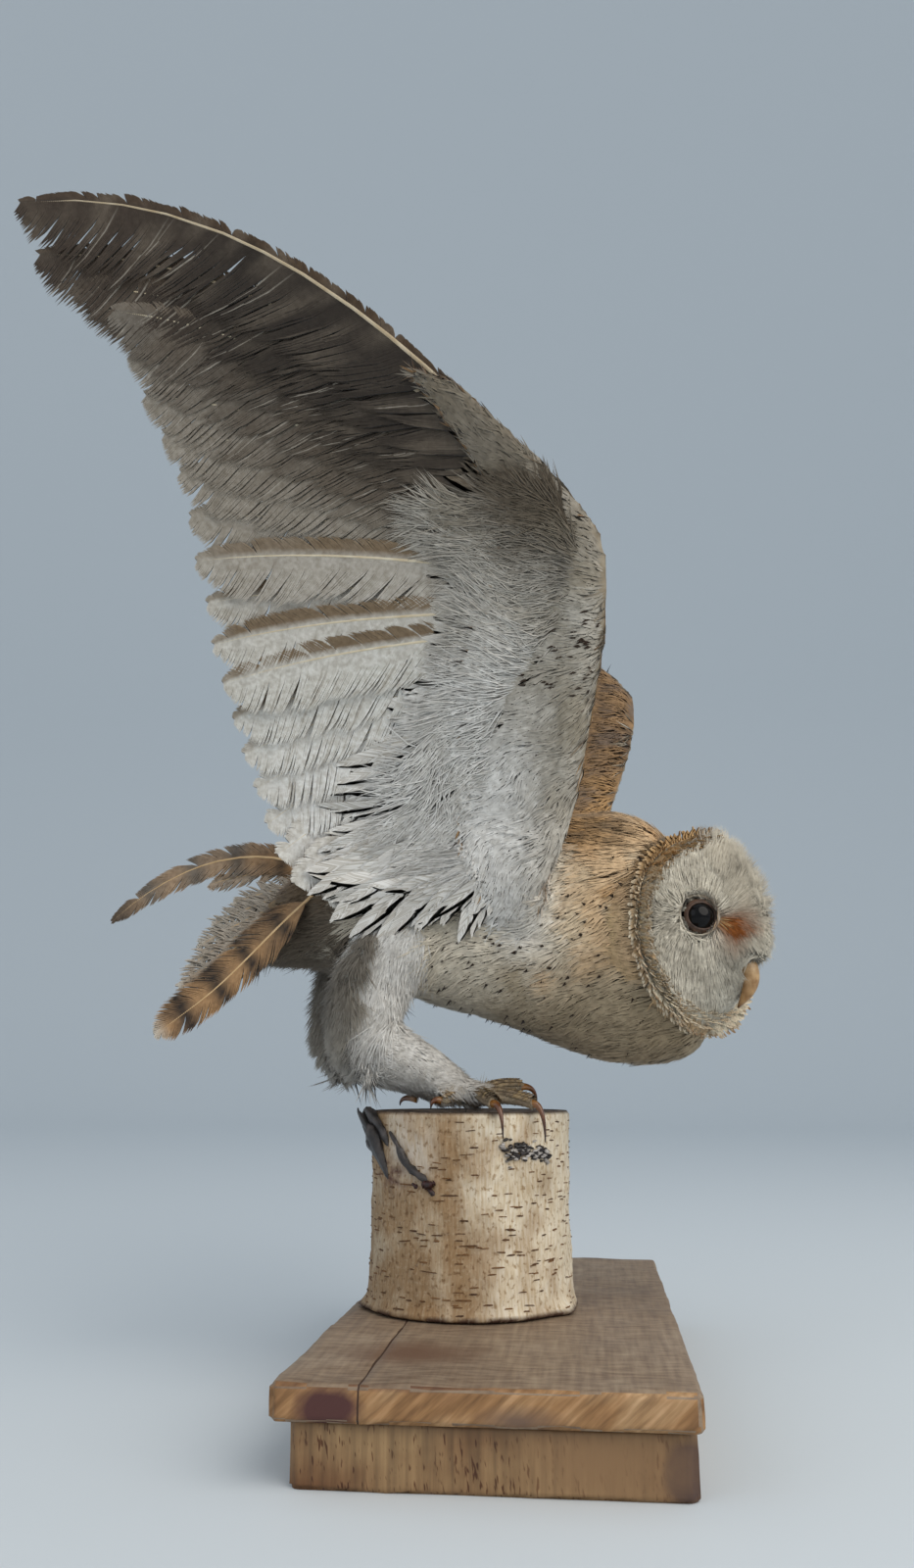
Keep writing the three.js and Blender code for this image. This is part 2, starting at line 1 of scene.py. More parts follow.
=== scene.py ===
import math

import bmesh
import bpy
import numpy as np
from mathutils import Matrix, Vector
from mathutils.bvhtree import BVHTree
from mathutils.kdtree import KDTree


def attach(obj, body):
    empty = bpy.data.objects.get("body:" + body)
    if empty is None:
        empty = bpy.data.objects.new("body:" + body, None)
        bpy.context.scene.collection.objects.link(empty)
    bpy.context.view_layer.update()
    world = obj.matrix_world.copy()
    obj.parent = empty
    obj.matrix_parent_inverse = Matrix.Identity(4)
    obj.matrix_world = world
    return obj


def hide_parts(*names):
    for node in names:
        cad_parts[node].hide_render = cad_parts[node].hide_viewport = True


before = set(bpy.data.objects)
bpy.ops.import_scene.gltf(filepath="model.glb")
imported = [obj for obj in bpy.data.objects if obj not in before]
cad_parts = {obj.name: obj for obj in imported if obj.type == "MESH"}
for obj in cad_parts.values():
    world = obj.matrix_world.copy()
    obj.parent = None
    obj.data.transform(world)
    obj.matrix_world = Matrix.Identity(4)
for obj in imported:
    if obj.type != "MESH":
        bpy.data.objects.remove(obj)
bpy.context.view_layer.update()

MM = 0.001

# ---------------------------------------------------------------- the owl's own frame
# Owl points are in millimetres: x forward, y to the owl's left, z up, from the middle of the log's cut top.
LOG_TOP = (-18.5, 0.0, 118.5)
OWL_TURN = math.radians(-5.4)

# ---------------------------------------------------------------- driving dimensions, mm
WING_LEAN = math.radians(28.4)
HINGE_OUT = 50.0
HINGE_UP = 124.0
DRAPE = 16.0
DRAPE_RUN = (12.0, 34.0)
CAMBER = 7.0
FEATHER_ROOTS = [(-0.5, 53, 157), (3, 59, 138), (9.5, 62, 106), (14, 44, 74), (18, 26, 46), (20, 28, 20), (22.5, 46, -8)]
FEATHER_TIPS = [(-0.5, -153, 293), (0.2, -164, 284), (1, -157, 266), (3, -127, 240), (5, -117, 204), (7, -106, 170),
                (9, -103, 131), (12, -99, 75), (15, -91, 24), (17, -82, -10), (18.5, -67, -32), (20, -36, -39),
                (22.5, 15, -32)]
OUTER_BOW = 0.2
INNER_BOW = 0.05
BOW_FADE = 3.0
BOW_LEAN = 0.35
FLIGHT_FEATHERS = 23
PRIMARIES = 10
SECONDARIES = 18

HEAD_AT = np.array([120.5, -16.0, 84.5])
HEAD_TURN = math.radians(30.0)
HEAD_HALF_WIDTH = 49.0
HEAD_HALF_HEIGHT = 43.0
HEAD_MIDDLE = -4.5
RIM_FRONT = -11.0
RIDGE = 36.0
RIDGE_SHARPNESS = 2.4
RIDGE_ROUND = 3.0
EYE_RADIUS = 8.0
EYE_ACROSS = 16.4
EYE_SET = -3.6
UPPER_BILL = [(4, -10, 5, 5), (12, -17, 5, 4.8), (15.6, -25.5, 4.4, 4), (14.2, -32.5, 3, 2.6), (8.8, -39.5, 0.5, 0.5)]
LOWER_BILL = [(-4, -25, 3.4, 4), (4, -30.5, 3, 3.4), (7, -35.5, 1.3, 1.5)]

TAIL_ROOTS = [(-76, 8, 117), (-68, -10, 97)]
TAIL_TIPS = [(-197, 10, 95), (-140, -5, 72), (-146, -30, 29)]
TAIL_ARCH = (40.0, -4.0)


# ---------------------------------------------------------------- small sums
def placed(points):
    """Owl points as places in the frame, in metres."""
    points = np.asarray(points, float)
    turn, lean = math.cos(OWL_TURN), math.sin(OWL_TURN)
    x = points[..., 0] * turn - points[..., 1] * lean + LOG_TOP[0]
    y = points[..., 0] * lean + points[..., 1] * turn + LOG_TOP[1]
    return np.stack([x, y, points[..., 2] + LOG_TOP[2]], -1) * MM


def unplaced(places):
    """Places in the frame, in metres, as owl points."""
    places = np.asarray(places, float) / MM - LOG_TOP
    turn, lean = math.cos(OWL_TURN), math.sin(OWL_TURN)
    x = places[..., 0] * turn + places[..., 1] * lean
    y = -places[..., 0] * lean + places[..., 1] * turn
    return np.stack([x, y, places[..., 2]], -1)


def turned_to_frame(ways):
    """Ways of the owl as ways of the frame."""
    turn, lean = math.cos(OWL_TURN), math.sin(OWL_TURN)
    return np.stack([ways[..., 0] * turn - ways[..., 1] * lean, ways[..., 0] * lean + ways[..., 1] * turn, ways[..., 2]], -1)


def ramp(value, start, end):
    """0 before start, 1 after end, and a smooth change between them."""
    share = np.clip((np.asarray(value, float) - start) / (end - start), 0, 1)
    return share * share * (3 - 2 * share)


def through(stations, key):
    """The values of a list of stations (key, value, ...) at a key, on a smooth curve."""
    table = np.array(stations, float)
    keys, values = table[:, 0], table[:, 1:]
    slopes = np.gradient(values, keys, axis=0)
    key = np.clip(np.asarray(key, float), keys[0], keys[-1])
    low = np.clip(np.searchsorted(keys, key, side="right") - 1, 0, len(keys) - 2)
    run = (keys[low + 1] - keys[low])[..., None]
    t = ((key - keys[low])[..., None]) / run
    first = (1 + 2 * t) * (1 - t) ** 2 * values[low] + t * (1 - t) ** 2 * run * slopes[low]
    second = t * t * (3 - 2 * t) * values[low + 1] + t * t * (t - 1) * run * slopes[low + 1]
    return first + second


def unit(vectors):
    return vectors / np.maximum(np.linalg.norm(vectors, axis=-1, keepdims=True), 1e-9)


def ripple(points, size, seed):
    """A smooth wander from about -1 to 1 that changes over size millimetres."""
    draw = np.random.default_rng(seed)
    waves = unit(draw.normal(size=(9, 3))) * draw.uniform(0.6, 1.7, (9, 1)) * math.pi / size
    return np.sin(np.asarray(points) @ waves.T + draw.uniform(0, 2 * math.pi, 9)).sum(-1) / 3.0


def linear(colour):
    """An sRGB hex colour as linear red, green and blue."""
    parts = np.array([int(colour[i : i + 2], 16) / 255 for i in (1, 3, 5)])
    return np.where(parts <= 0.04045, parts / 12.92, ((parts + 0.055) / 1.055) ** 2.4)


def rgba(colour):
    return (*linear(colour), 1.0)


def over(base, colour, share):
    """base with a hex colour laid over it by share."""
    return base + (linear(colour) - base) * np.asarray(share)[..., None]


# ---------------------------------------------------------------- wing and head places
def wing_place(side, x, h, bulge):
    """A point of a wing: x forward, h up the leaning wing from its hinge, bulge out from its middle surface."""
    x, h, bulge = np.broadcast_arrays(np.asarray(x, float), h, bulge)
    drape = DRAPE * ramp(-h, -DRAPE_RUN[0], DRAPE_RUN[1])
    out = HINGE_OUT + h * math.sin(WING_LEAN) + bulge * math.cos(WING_LEAN) + drape
    up = HINGE_UP + h * math.cos(WING_LEAN) - bulge * math.sin(WING_LEAN)
    return np.stack([x, side * out, up], -1)


def flight_line(number, share):
    """x, h and bulge along a flight feather's shaft."""
    root = through(FEATHER_ROOTS, number)
    tip = through(FEATHER_TIPS, number)
    number, share = np.asarray(number, float), np.asarray(share, float)
    bow = INNER_BOW + OUTER_BOW * np.exp(-(number + 0.5) / BOW_FADE)
    bend = 2 * share * (1 - share) * bow * (1 + BOW_LEAN * (2 * share - 1))
    run = tip - root
    x = root[..., 0] + run[..., 0] * share + run[..., 1] * bend
    h = root[..., 1] + run[..., 1] * share - run[..., 0] * bend
    return np.stack(np.broadcast_arrays(x, h, -CAMBER * np.sin(math.pi * share)), -1)


HEAD_FORWARD = np.array([math.cos(HEAD_TURN), -math.sin(HEAD_TURN), 0.0])
HEAD_RIGHT = np.array([-math.sin(HEAD_TURN), -math.cos(HEAD_TURN), 0.0])
UP = np.array([0.0, 0.0, 1.0])


def head_place(forward, right, up):
    """A point of the head from its own axes."""
    forward, right, up = (np.asarray(v, float)[..., None] for v in np.broadcast_arrays(forward, right, up))
    return HEAD_AT + forward * HEAD_FORWARD + right * HEAD_RIGHT + up * UP


def head_axes(points):
    """Forward, right and up of owl points in the head's own axes."""
    offset = points - HEAD_AT
    return offset @ HEAD_FORWARD, offset @ HEAD_RIGHT, offset[..., 2]


def face_front(right, up):
    """How far forward the facial disc stands."""
    off = (up - HEAD_MIDDLE) / HEAD_HALF_HEIGHT
    fade = np.maximum(0, 1 - np.where(off > 0, 0.68, 0.98) * off * off)
    inward = np.maximum(0, 1 - (np.hypot(right, RIDGE_ROUND) - RIDGE_ROUND) / HEAD_HALF_WIDTH)
    return RIM_FRONT + RIDGE * inward**RIDGE_SHARPNESS * fade


# ---------------------------------------------------------------- materials
def add(tree, kind, inputs=(), **settings):
    """A node with its settings, and its inputs set or linked."""
    node = tree.nodes.new("ShaderNode" + kind)
    for name, value in settings.items():
        setattr(node, name, value)
    for name, value in dict(inputs).items():
        if isinstance(value, bpy.types.NodeSocket):
            tree.links.new(value, node.inputs[name])
        else:
            node.inputs[name].default_value = value
    return node


def finish_of(name, base, roughness, normal=None, **sockets):
    """A material with one principled shader. base and the rest are numbers, colours or functions of the node tree."""
    material = bpy.data.materials.new(name)
    material.use_nodes = True
    tree = material.node_tree
    shader = tree.nodes["Principled BSDF"]
    for socket, value in {"Base Color": base, "Roughness": roughness, "Normal": normal, **sockets}.items():
        if callable(value):
            tree.links.new(value(tree), shader.inputs[socket])
        elif value is not None:
            shader.inputs[socket].default_value = value
    return material


def ramp_node(tree, factor, stops):
    """A colour ramp over a factor, from (place, hex) stops."""
    node = add(tree, "ValToRGB", {"Fac": factor})
    while len(node.color_ramp.elements) < len(stops):
        node.color_ramp.elements.new(1.0)
    for element, (place, colour) in zip(node.color_ramp.elements, stops):
        element.position = place
        element.color = rgba(colour)
    return node.outputs["Color"]


def object_noise(tree, size_mm, stretch=(1, 1, 1), detail=3.0):
    """Noise on Object coordinates whose blotches are about size_mm across."""
    place = add(tree, "TexCoord").outputs["Object"]
    mapped = add(tree, "Mapping", {"Vector": place, "Scale": stretch})
    return add(tree, "TexNoise", {"Vector": mapped.outputs["Vector"], "Scale": 0.5 / (size_mm * MM), "Detail": detail})


def mix(tree, factor, a, b, kind="MIX"):
    node = add(tree, "Mix", data_type="RGBA", blend_type=kind)
    for socket, value in zip((node.inputs[0], node.inputs[6], node.inputs[7]), (factor, a, b)):
        if isinstance(value, bpy.types.NodeSocket):
            tree.links.new(value, socket)
        else:
            socket.default_value = value
    return node.outputs[2]


def bump(tree, height, strength, distance_mm):
    return add(tree, "Bump", {"Height": height, "Strength": strength, "Distance": distance_mm * MM}).outputs["Normal"]


def tinted(low, high, size_mm):
    """The piece's own tint, lighter and darker by turns over size_mm."""
    def build(tree):
        tint = add(tree, "Attribute", attribute_name="tint").outputs["Color"]
        shade = ramp_node(tree, object_noise(tree, size_mm).outputs["Fac"], [(0.3, low), (0.7, high)])
        return mix(tree, 1.0, tint, shade, "MULTIPLY")
    return build


# Contour feathers and down: dry keratin barbs with no gloss, a faint sheen at the edges.
DOWN = finish_of("barn_owl_down_soft_matte", tinted("#D9D7D4", "#FFFFFF", 1.4), 0.85,
                 **{"Specular IOR Level": 0.2, "Sheen Weight": 0.15, "Sheen Roughness": 0.5})
# Flight feathers: zipped barbs, satin rather than matte.
VANE = finish_of("flight_feather_vane_satin", tinted("#D6D2CC", "#FFFFFF", 1.1), 0.62,
                 **{"Specular IOR Level": 0.3, "Sheen Weight": 0.1})
# Shafts: solid keratin, smooth and slightly waxy.
SHAFT = finish_of("feather_shaft_waxy_keratin", tinted("#E6DCCB", "#FFFFFF", 3.0), 0.36)
# Tanned bird skin under the coat, dry and finely wrinkled.
SKIN = finish_of("tanned_bird_skin_dry", tinted("#CFCAC2", "#FFFFFF", 2.2), 0.9,
                 normal=lambda tree: bump(tree, object_noise(tree, 0.9).outputs["Fac"], 0.6, 0.4))


def streaked(tree):
    """Barb streaks that run from a small feather's shaft out and towards its tip."""
    spot = add(tree, "SeparateXYZ", {"Vector": add(tree, "UVMap", uv_map="vane").outputs["UV"]}).outputs
    off = add(tree, "Math", {0: spot["X"], 1: 0.5}, operation="SUBTRACT").outputs[0]
    off = add(tree, "Math", {0: off}, operation="ABSOLUTE").outputs[0]
    out = add(tree, "Math", {0: off, 1: 14.0}, operation="MULTIPLY").outputs[0]
    line = add(tree, "Math", {0: spot["Y"], 1: 46.0, 2: 0.0}, operation="MULTIPLY_ADD").outputs[0]
    line = add(tree, "Math", {0: line, 1: out}, operation="SUBTRACT").outputs[0]
    here = add(tree, "SeparateXYZ", {"Vector": add(tree, "TexCoord").outputs["Object"]}).outputs
    drift = add(tree, "Math", {0: here["X"], 1: 45.0}, operation="MULTIPLY").outputs[0]
    other = add(tree, "Math", {0: here["Z"], 1: 45.0}, operation="MULTIPLY").outputs[0]
    spot = add(tree, "CombineXYZ", {"X": line, "Y": drift, "Z": other}).outputs["Vector"]
    return add(tree, "TexNoise", {"Vector": spot, "Scale": 1.0, "Detail": 1.0}).outputs["Fac"]


def streaked_tint(tree):
    tint = add(tree, "Attribute", attribute_name="tint").outputs["Color"]
    return mix(tree, 1.0, tint, ramp_node(tree, streaked(tree), [(0.34, "#C3BDB4"), (0.62, "#FFFFFF")]), "MULTIPLY")


# Covert feathers: broad soft vanes, barbs combed out from a fine shaft.
COVERT = finish_of("covert_feather_combed_barbs", streaked_tint, 0.78,
                   normal=lambda tree: bump(tree, streaked(tree), 0.5, 0.25), **{"Specular IOR Level": 0.25})


# ---------------------------------------------------------------- strands
class Strand:
    """A closed strand of unit size, kept as arrays: its rings along z, its width along x and its depth along y."""

    def __init__(self, sides, rings, pointed=False):
        bm = bmesh.new()
        base = bmesh.ops.create_circle(bm, cap_ends=True, segments=sides, radius=0.5)["verts"]
        top = list(bm.faces)
        for step in range(rings):
            grown = bmesh.ops.extrude_face_region(bm, geom=top)["geom"]
            if step:
                bmesh.ops.delete(bm, geom=[face for face in top if face.is_valid], context="FACES_ONLY")
            moved = [part for part in grown if isinstance(part, bmesh.types.BMVert)]
            top = [part for part in grown if isinstance(part, bmesh.types.BMFace)]
            bmesh.ops.translate(bm, verts=moved, vec=(0, 0, 1))
        bmesh.ops.pointmerge(bm, verts=moved, merge_co=(0, 0, rings))
        if pointed:
            bmesh.ops.pointmerge(bm, verts=base, merge_co=(0, 0, 0))
        bmesh.ops.recalc_face_normals(bm, faces=bm.faces)
        bm.verts.index_update()
        co = np.array([v.co[:] for v in bm.verts])
        self.ring = np.rint(co[:, 2]).astype(int)
        self.wide = co[:, 0] / np.ptp(co[:, 0])
        self.deep = co[:, 1] / np.ptp(co[:, 1])
        self.corners = np.array([v.index for face in bm.faces for v in face.verts])
        sizes = [len(face.verts) for face in bm.faces]
        self.starts = np.cumsum([0] + sizes[:-1])
        self.under = np.repeat([face.normal.y < -0.4 for face in bm.faces], sizes)
        self.rings = rings + 1
        self.triangles = sum(size - 2 for size in sizes)
        bm.free()


SOFTNESS = 0.55


def joined_strands(name, shape, centre, up, wide, deep, tint, patch, across, material,
                   under_tint=None, under_shift=(0.0, 0.0), replaced=(), softness=SOFTNESS, barbed=False):
    """One piece of many strands. centre is (strands, rings, 3) in owl points, up the way each ring's depth points,
    tint its linear colour, patch its place on the OFBake map and across the map's step over a strand's width."""
    count = len(centre)
    along = unit(np.gradient(centre, axis=1))
    up = np.broadcast_to(up if up.ndim == 3 else up[:, None], centre.shape)
    surface = up
    side = unit(np.cross(up, along))
    up = unit(np.cross(along, side))
    wide = np.broadcast_to(wide, centre.shape[:2])
    deep = np.broadcast_to(deep, centre.shape[:2])
    ring = shape.ring
    points = (centre[:, ring] + side[:, ring] * (wide[:, ring] * shape.wide)[..., None]
              + up[:, ring] * (deep[:, ring] * shape.deep)[..., None])
    corners = len(shape.corners)
    mesh = bpy.data.meshes.new(name)
    mesh.vertices.add(count * len(ring))
    mesh.vertices.foreach_set("co", placed(points).astype(np.float32).ravel())
    mesh.loops.add(count * corners)
    order = np.arange(count)[:, None] * len(ring) + shape.corners
    mesh.loops.foreach_set("vertex_index", order.astype(np.int32).ravel())
    mesh.polygons.add(count * len(shape.starts))
    starts = np.arange(count)[:, None] * corners + shape.starts
    mesh.polygons.foreach_set("loop_start", starts.astype(np.int32).ravel())
    mesh.update(calc_edges=True)
    mesh.shade_smooth()
    corner_ring = ring[shape.corners]
    round_side = side[:, corner_ring] * (2 * shape.wide[shape.corners])[:, None]
    round_up = surface[:, corner_ring] * np.where(shape.under, -1.0, 1.0)[:, None]
    shading = unit(round_side * (1 - softness) + round_up * (0.35 + softness))
    layer = mesh.attributes.new("custom_normal", "FLOAT_VECTOR", "CORNER")
    layer.data.foreach_set("vector", turned_to_frame(shading).astype(np.float32).ravel())
    if barbed:
        vane = np.stack([shape.wide[shape.corners] + 0.5, corner_ring / (shape.rings - 1)], -1)
        vane = np.broadcast_to(vane, (count,) + vane.shape).astype(np.float32)
        mesh.uv_layers.new(name="vane").data.foreach_set("uv", vane.ravel())
    tint = np.broadcast_to(tint, centre.shape)
    colour = tint[:, corner_ring]
    if under_tint is not None:
        under = np.broadcast_to(under_tint, centre.shape)[:, corner_ring]
        colour = np.where(shape.under[:, None], under, colour)
    colour = np.concatenate([colour, np.ones(colour.shape[:2] + (1,))], -1)
    layer = mesh.color_attributes.new("tint", "FLOAT_COLOR", "CORNER")
    layer.data.foreach_set("color", np.clip(colour, 0, 1).astype(np.float32).ravel())
    across = np.broadcast_to(across, (count, 2))
    spot = np.broadcast_to(patch, (count, shape.rings, 2))[:, corner_ring]
    spot = spot + across[:, None] * shape.wide[shape.corners][:, None]
    spot = spot + np.where(shape.under[:, None], under_shift, (0.0, 0.0))
    mesh.uv_layers.new(name="OFBake").data.foreach_set("uv", spot.astype(np.float32).ravel())
    return piece(name, mesh, material, replaced)


def piece(name, mesh, material, replaced=()):
    """A finished mesh as a piece of the model."""
    made = bpy.data.objects.new(name, mesh)
    bpy.context.scene.collection.objects.link(made)
    if material is not None:
        mesh.materials.append(material)
    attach(made, "root")
    if replaced:
        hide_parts(*replaced)
    return made


FIBRE = Strand(3, 2, pointed=True)
FIBRE_RUN = np.array([0.0, 0.4, 1.0])
LOCK = Strand(3, 3)
LOCK_RUN = np.array([0.0, 0.35, 0.75, 1.0])
PLUME = Strand(3, 6)
PLUME_RUN = np.array([0.0, 0.12, 0.35, 0.6, 0.8, 0.94, 1.0])
QUILL = Strand(6, 12)
PATCH = 0.003


# ---------------------------------------------------------------- the skin
SIDES = ("right", "left")
FLESH = ["trunk", "neck", "head"]
FLESH += [f"{side}_{part}" for side in SIDES for part in ("wing_arm", "wing_hand", "thigh", "shank", "foot")]
SKIN_CELL = 2.1
NEIGHBOUR_OVERLAP = 0.45
COAT_DEPTH = {"trunk": 5.0, "neck": 5.5, "head": 3.4, "thigh": 4.5, "shank": 3.0, "foot": 0.2, "wing_arm": 3.0,
              "wing_hand": 2.0}
THIN_SHARE = 0.3


class Skin:
    """The one skin under the coat, in owl points, and what the coat needs to know of it."""

    def __init__(self):
        solids = bmesh.new()
        owner_points, owner_faces, owner = [], [], []
        for number, node in enumerate(FLESH):
            bm = bmesh.new()
            bm.from_mesh(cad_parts[node].data)
            bmesh.ops.remove_doubles(bm, verts=bm.verts, dist=0.01 * MM)
            bm.normal_update()
            base = len(owner_points)
            bm.verts.index_update()
            owner_points += [v.co[:] for v in bm.verts]
            owner_faces += [[base + v.index for v in face.verts] for face in bm.faces]
            owner += [number] * len(bm.faces)
            for v in bm.verts:
                v.co += v.normal * NEIGHBOUR_OVERLAP * MM
            grown = bpy.data.meshes.new("grown")
            bm.to_mesh(grown)
            bm.free()
            solids.from_mesh(grown)
        whole = bpy.data.meshes.new("flesh")
        solids.to_mesh(whole)
        solids.free()
        blank = bpy.data.objects.new("flesh", whole)
        bpy.context.scene.collection.objects.link(blank)
        cells = blank.modifiers.new("cells", "REMESH")
        cells.mode = "VOXEL"
        cells.voxel_size = SKIN_CELL * MM
        soft = blank.modifiers.new("soft", "SMOOTH")
        soft.factor = 0.5
        soft.iterations = 5
        graph = bpy.context.evaluated_depsgraph_get()
        mesh = bpy.data.meshes.new_from_object(blank.evaluated_get(graph))
        bpy.data.objects.remove(blank)
        co = np.zeros(len(mesh.vertices) * 3)
        mesh.vertices.foreach_get("co", co)
        co = unplaced(co.reshape(-1, 3))
        normals = np.zeros(len(mesh.vertices) * 3)
        mesh.vertices.foreach_get("normal", normals)
        normals = self.turned(normals.reshape(-1, 3))
        faces = [tuple(face.vertices) for face in mesh.polygons]
        outer = BVHTree.FromPolygons(co.tolist(), faces)
        nodes = BVHTree.FromPolygons(unplaced(owner_points).tolist(), owner_faces)
        self.vertex_owner = np.array([owner[nodes.find_nearest(p)[2]] for p in co.tolist()])
        depth = np.array([COAT_DEPTH[FLESH[o].split("_", 1)[-1] if "_" in FLESH[o] else FLESH[o]] for o in self.vertex_owner])
        starts = (co - normals * 0.3).tolist()
        ways = (-normals).tolist()
        hits = [outer.ray_cast(start, way) for start, way in zip(starts, ways)]
        thickness = np.array([hit[3] if hit[3] is not None else 50.0 for hit in hits])
        depth = np.minimum(depth, THIN_SHARE * thickness)
        edges = np.zeros(len(mesh.edges) * 2, int)
        mesh.edges.foreach_get("vertices", edges)
        edges = edges.reshape(-1, 2)
        for _ in range(12):
            total = np.zeros(len(co))
            count = np.zeros(len(co))
            for a, b in ((0, 1), (1, 0)):
                np.add.at(total, edges[:, a], depth[edges[:, b]])
                np.add.at(count, edges[:, a], 1)
            depth = 0.5 * depth + 0.5 * total / np.maximum(count, 1)
        co = co - normals * depth[:, None]
        mesh.vertices.foreach_set("co", placed(co).ravel())
        mesh.update()
        self.mesh = mesh
        self.depth = depth
        self.tree = BVHTree.FromPolygons(co.tolist(), faces)
        corners = np.array(faces)
        self.centre = co[corners].mean(1)
        span = co[corners[:, 2]] - co[corners[:, 0]]
        other = co[corners[:, 3]] - co[corners[:, 1]]
        crossed = np.cross(span, other)
        self.area = np.linalg.norm(crossed, axis=-1) / 2
        self.normal = unit(crossed)
        self.face_depth = depth[corners].mean(1)
        self.owner = self.vertex_owner[corners[:, 0]]
        self.corners = corners
        self.unwrap()

    def unwrap(self):
        """Lays the skin out flat. Each face's place on that map is where its tufts are patched."""
        holder = bpy.data.objects.new("skin", self.mesh)
        bpy.context.scene.collection.objects.link(holder)
        bpy.context.view_layer.objects.active = holder
        holder.select_set(True)
        bpy.ops.object.mode_set(mode="EDIT")
        bpy.ops.mesh.select_all(action="SELECT")
        bpy.ops.uv.smart_project(angle_limit=math.radians(66), island_margin=0.002)
        bpy.ops.object.mode_set(mode="OBJECT")
        layer = self.mesh.uv_layers.active
        layer.name = "OFBake"
        spots = np.zeros(len(self.mesh.loops) * 2)
        layer.data.foreach_get("uv", spots)
        self.spot = spots.reshape(-1, 4, 2).mean(1)
        self.holder = holder

    @staticmethod
    def turned(vectors):
        """Directions in the frame as directions of the owl."""
        return unplaced(vectors * MM + np.array(LOG_TOP) * MM)

    def settle(self, points):
        """The nearest places on the skin, and the way out of it there."""
        found = [self.tree.find_nearest(point) for point in points.tolist()]
        return np.array([f[0][:] for f in found]), np.array([f[1][:] for f in found])



skin = Skin()


# ---------------------------------------------------------------- plumage colours
CREAM = "#E3D8C4"
WHITE = "#F1EEE8"
BUFF = "#E2C198"
SPECKLE = "#6E5E4B"
# Grey painted as shade under the throat and under the rump.
PAINTED_SHADE_GREY = "#A69D8E"
# Grey-brown painted as shade on the white legs.
LEG_PAINTED_SHADE = "#948B80"
DISC = "#E6DFCE"
RUST = "#9C5C2B"
TAWNY = "#C29B6C"
BAR = "#4A3B2D"


def wing_axes(points):
    """Which wing a point is nearer, and its h and bulge there."""
    out = np.abs(points[..., 1]) - HINGE_OUT
    up = points[..., 2] - HINGE_UP
    h = out * math.sin(WING_LEAN) + up * math.cos(WING_LEAN)
    bulge = out * math.cos(WING_LEAN) - up * math.sin(WING_LEAN)
    return h, bulge


def plumage(points, normals, owner):
    """The coat's colour at places of the skin, with painted shade under the body, behind the legs and high on the
    underwing.
    """
    x, y, z = points[..., 0], points[..., 1], points[..., 2]
    wander = ripple(points, 14, 3)
    fine = ripple(points, 5, 4)
    tone = np.broadcast_to(linear(CREAM), points.shape).copy()
    flank = ramp(x + 8 * wander, 34, 62) * ramp(z + 8 * wander, 38, 66)
    tone = over(tone, BUFF, 0.95 * flank)
    tone = over(tone, "#CF9F68", 0.7 * flank * np.clip(ripple(points, 11, 5), 0, 1))
    tone = over(tone, "#EBDCC0", 0.6 * flank * np.clip(ripple(points, 13, 6), 0, 1))
    # Grey under the throat: painted shade on the underside of the neck.
    throat_painted_shade = ramp(x, 66, 92) * (1 - ramp(z + 8 * wander, 42, 66))
    tone = over(tone, PAINTED_SHADE_GREY, 0.75 * throat_painted_shade)
    # Olive-brown low on the front of the body: painted shade under the breast.
    tone = over(tone, "#988566", 0.8 * (1 - ramp(z + 6 * wander, 42, 74)) * ramp(x, -10, 24))
    tone = over(tone, WHITE, 0.6 * ramp(x, 14, 26) * (1 - ramp(x, 34, 46)) * ramp(z, 60, 80))
    back = ramp(z + 4 * wander, 112, 124)
    tone = over(tone, TAWNY, back * (1 - ramp(x, 60, 90)))
    tone = over(tone, SPECKLE, back * np.clip(0.35 + 0.3 * fine + 0.15 * wander, 0, 0.7))
    # Grey at the rump: painted shade under the rear of the body.
    tone = over(tone, PAINTED_SHADE_GREY, 0.8 * (1 - ramp(x, -78, -48)))
    limb = np.char.find(NAMES[owner], "thigh") >= 0
    shank = np.char.find(NAMES[owner], "shank") >= 0
    # Grey-brown behind the thighs and low on the shanks: painted shade on the white legs.
    leg_painted_shade = np.where(limb, ramp(-x - 0.3 * z + 5 * wander, 24, 54) * 0.7, 0) + np.where(shank, 0.12 + 0.3 * ramp(24 - z, 0, 14), 0)
    tone = np.where((limb | shank)[..., None], over(linear(WHITE), LEG_PAINTED_SHADE, leg_painted_shade), tone)
    foot = np.char.find(NAMES[owner], "foot") >= 0
    tone = np.where(foot[..., None], over(linear("#8A7A66"), "#A1917A", 0.5 + 0.5 * fine), tone)
    wing = np.char.find(NAMES[owner], "wing") >= 0
    h, bulge = wing_axes(points)
    under = over(linear("#C2BBAE"), "#A79D8B", 0.5 + 0.5 * wander)
    under = over(under, WHITE, ramp(-x, -60, -20) * (1 - ramp(h, 20, 90)))
    under = over(under, "#A3937B", 0.8 * ramp(x, 66, 84))
    # Darker up the underwing: partly the hand's own darker feathers, partly painted shade where the underwing faces
    # down.
    under = over(under, "#6E6353", 0.7 * ramp(h + 12 * wander, 96, 158))
    upper = over(linear(TAWNY), "#83766B", np.clip(0.2 + 0.35 * fine + 0.45 * wander, 0, 1))
    upper = over(upper, "#6F5A48", 0.55 * ramp(z + 10 * wander, 148, 190))
    lean = np.sign(y)
    facing = normals[..., 1] * lean * math.cos(WING_LEAN) - normals[..., 2] * math.sin(WING_LEAN)
    outward = ramp(facing, -0.55, -0.15)[..., None]
    tone = np.where(wing[..., None], under * outward + upper * (1 - outward), tone)
    return head_plumage(points, owner, tone, wander, fine)


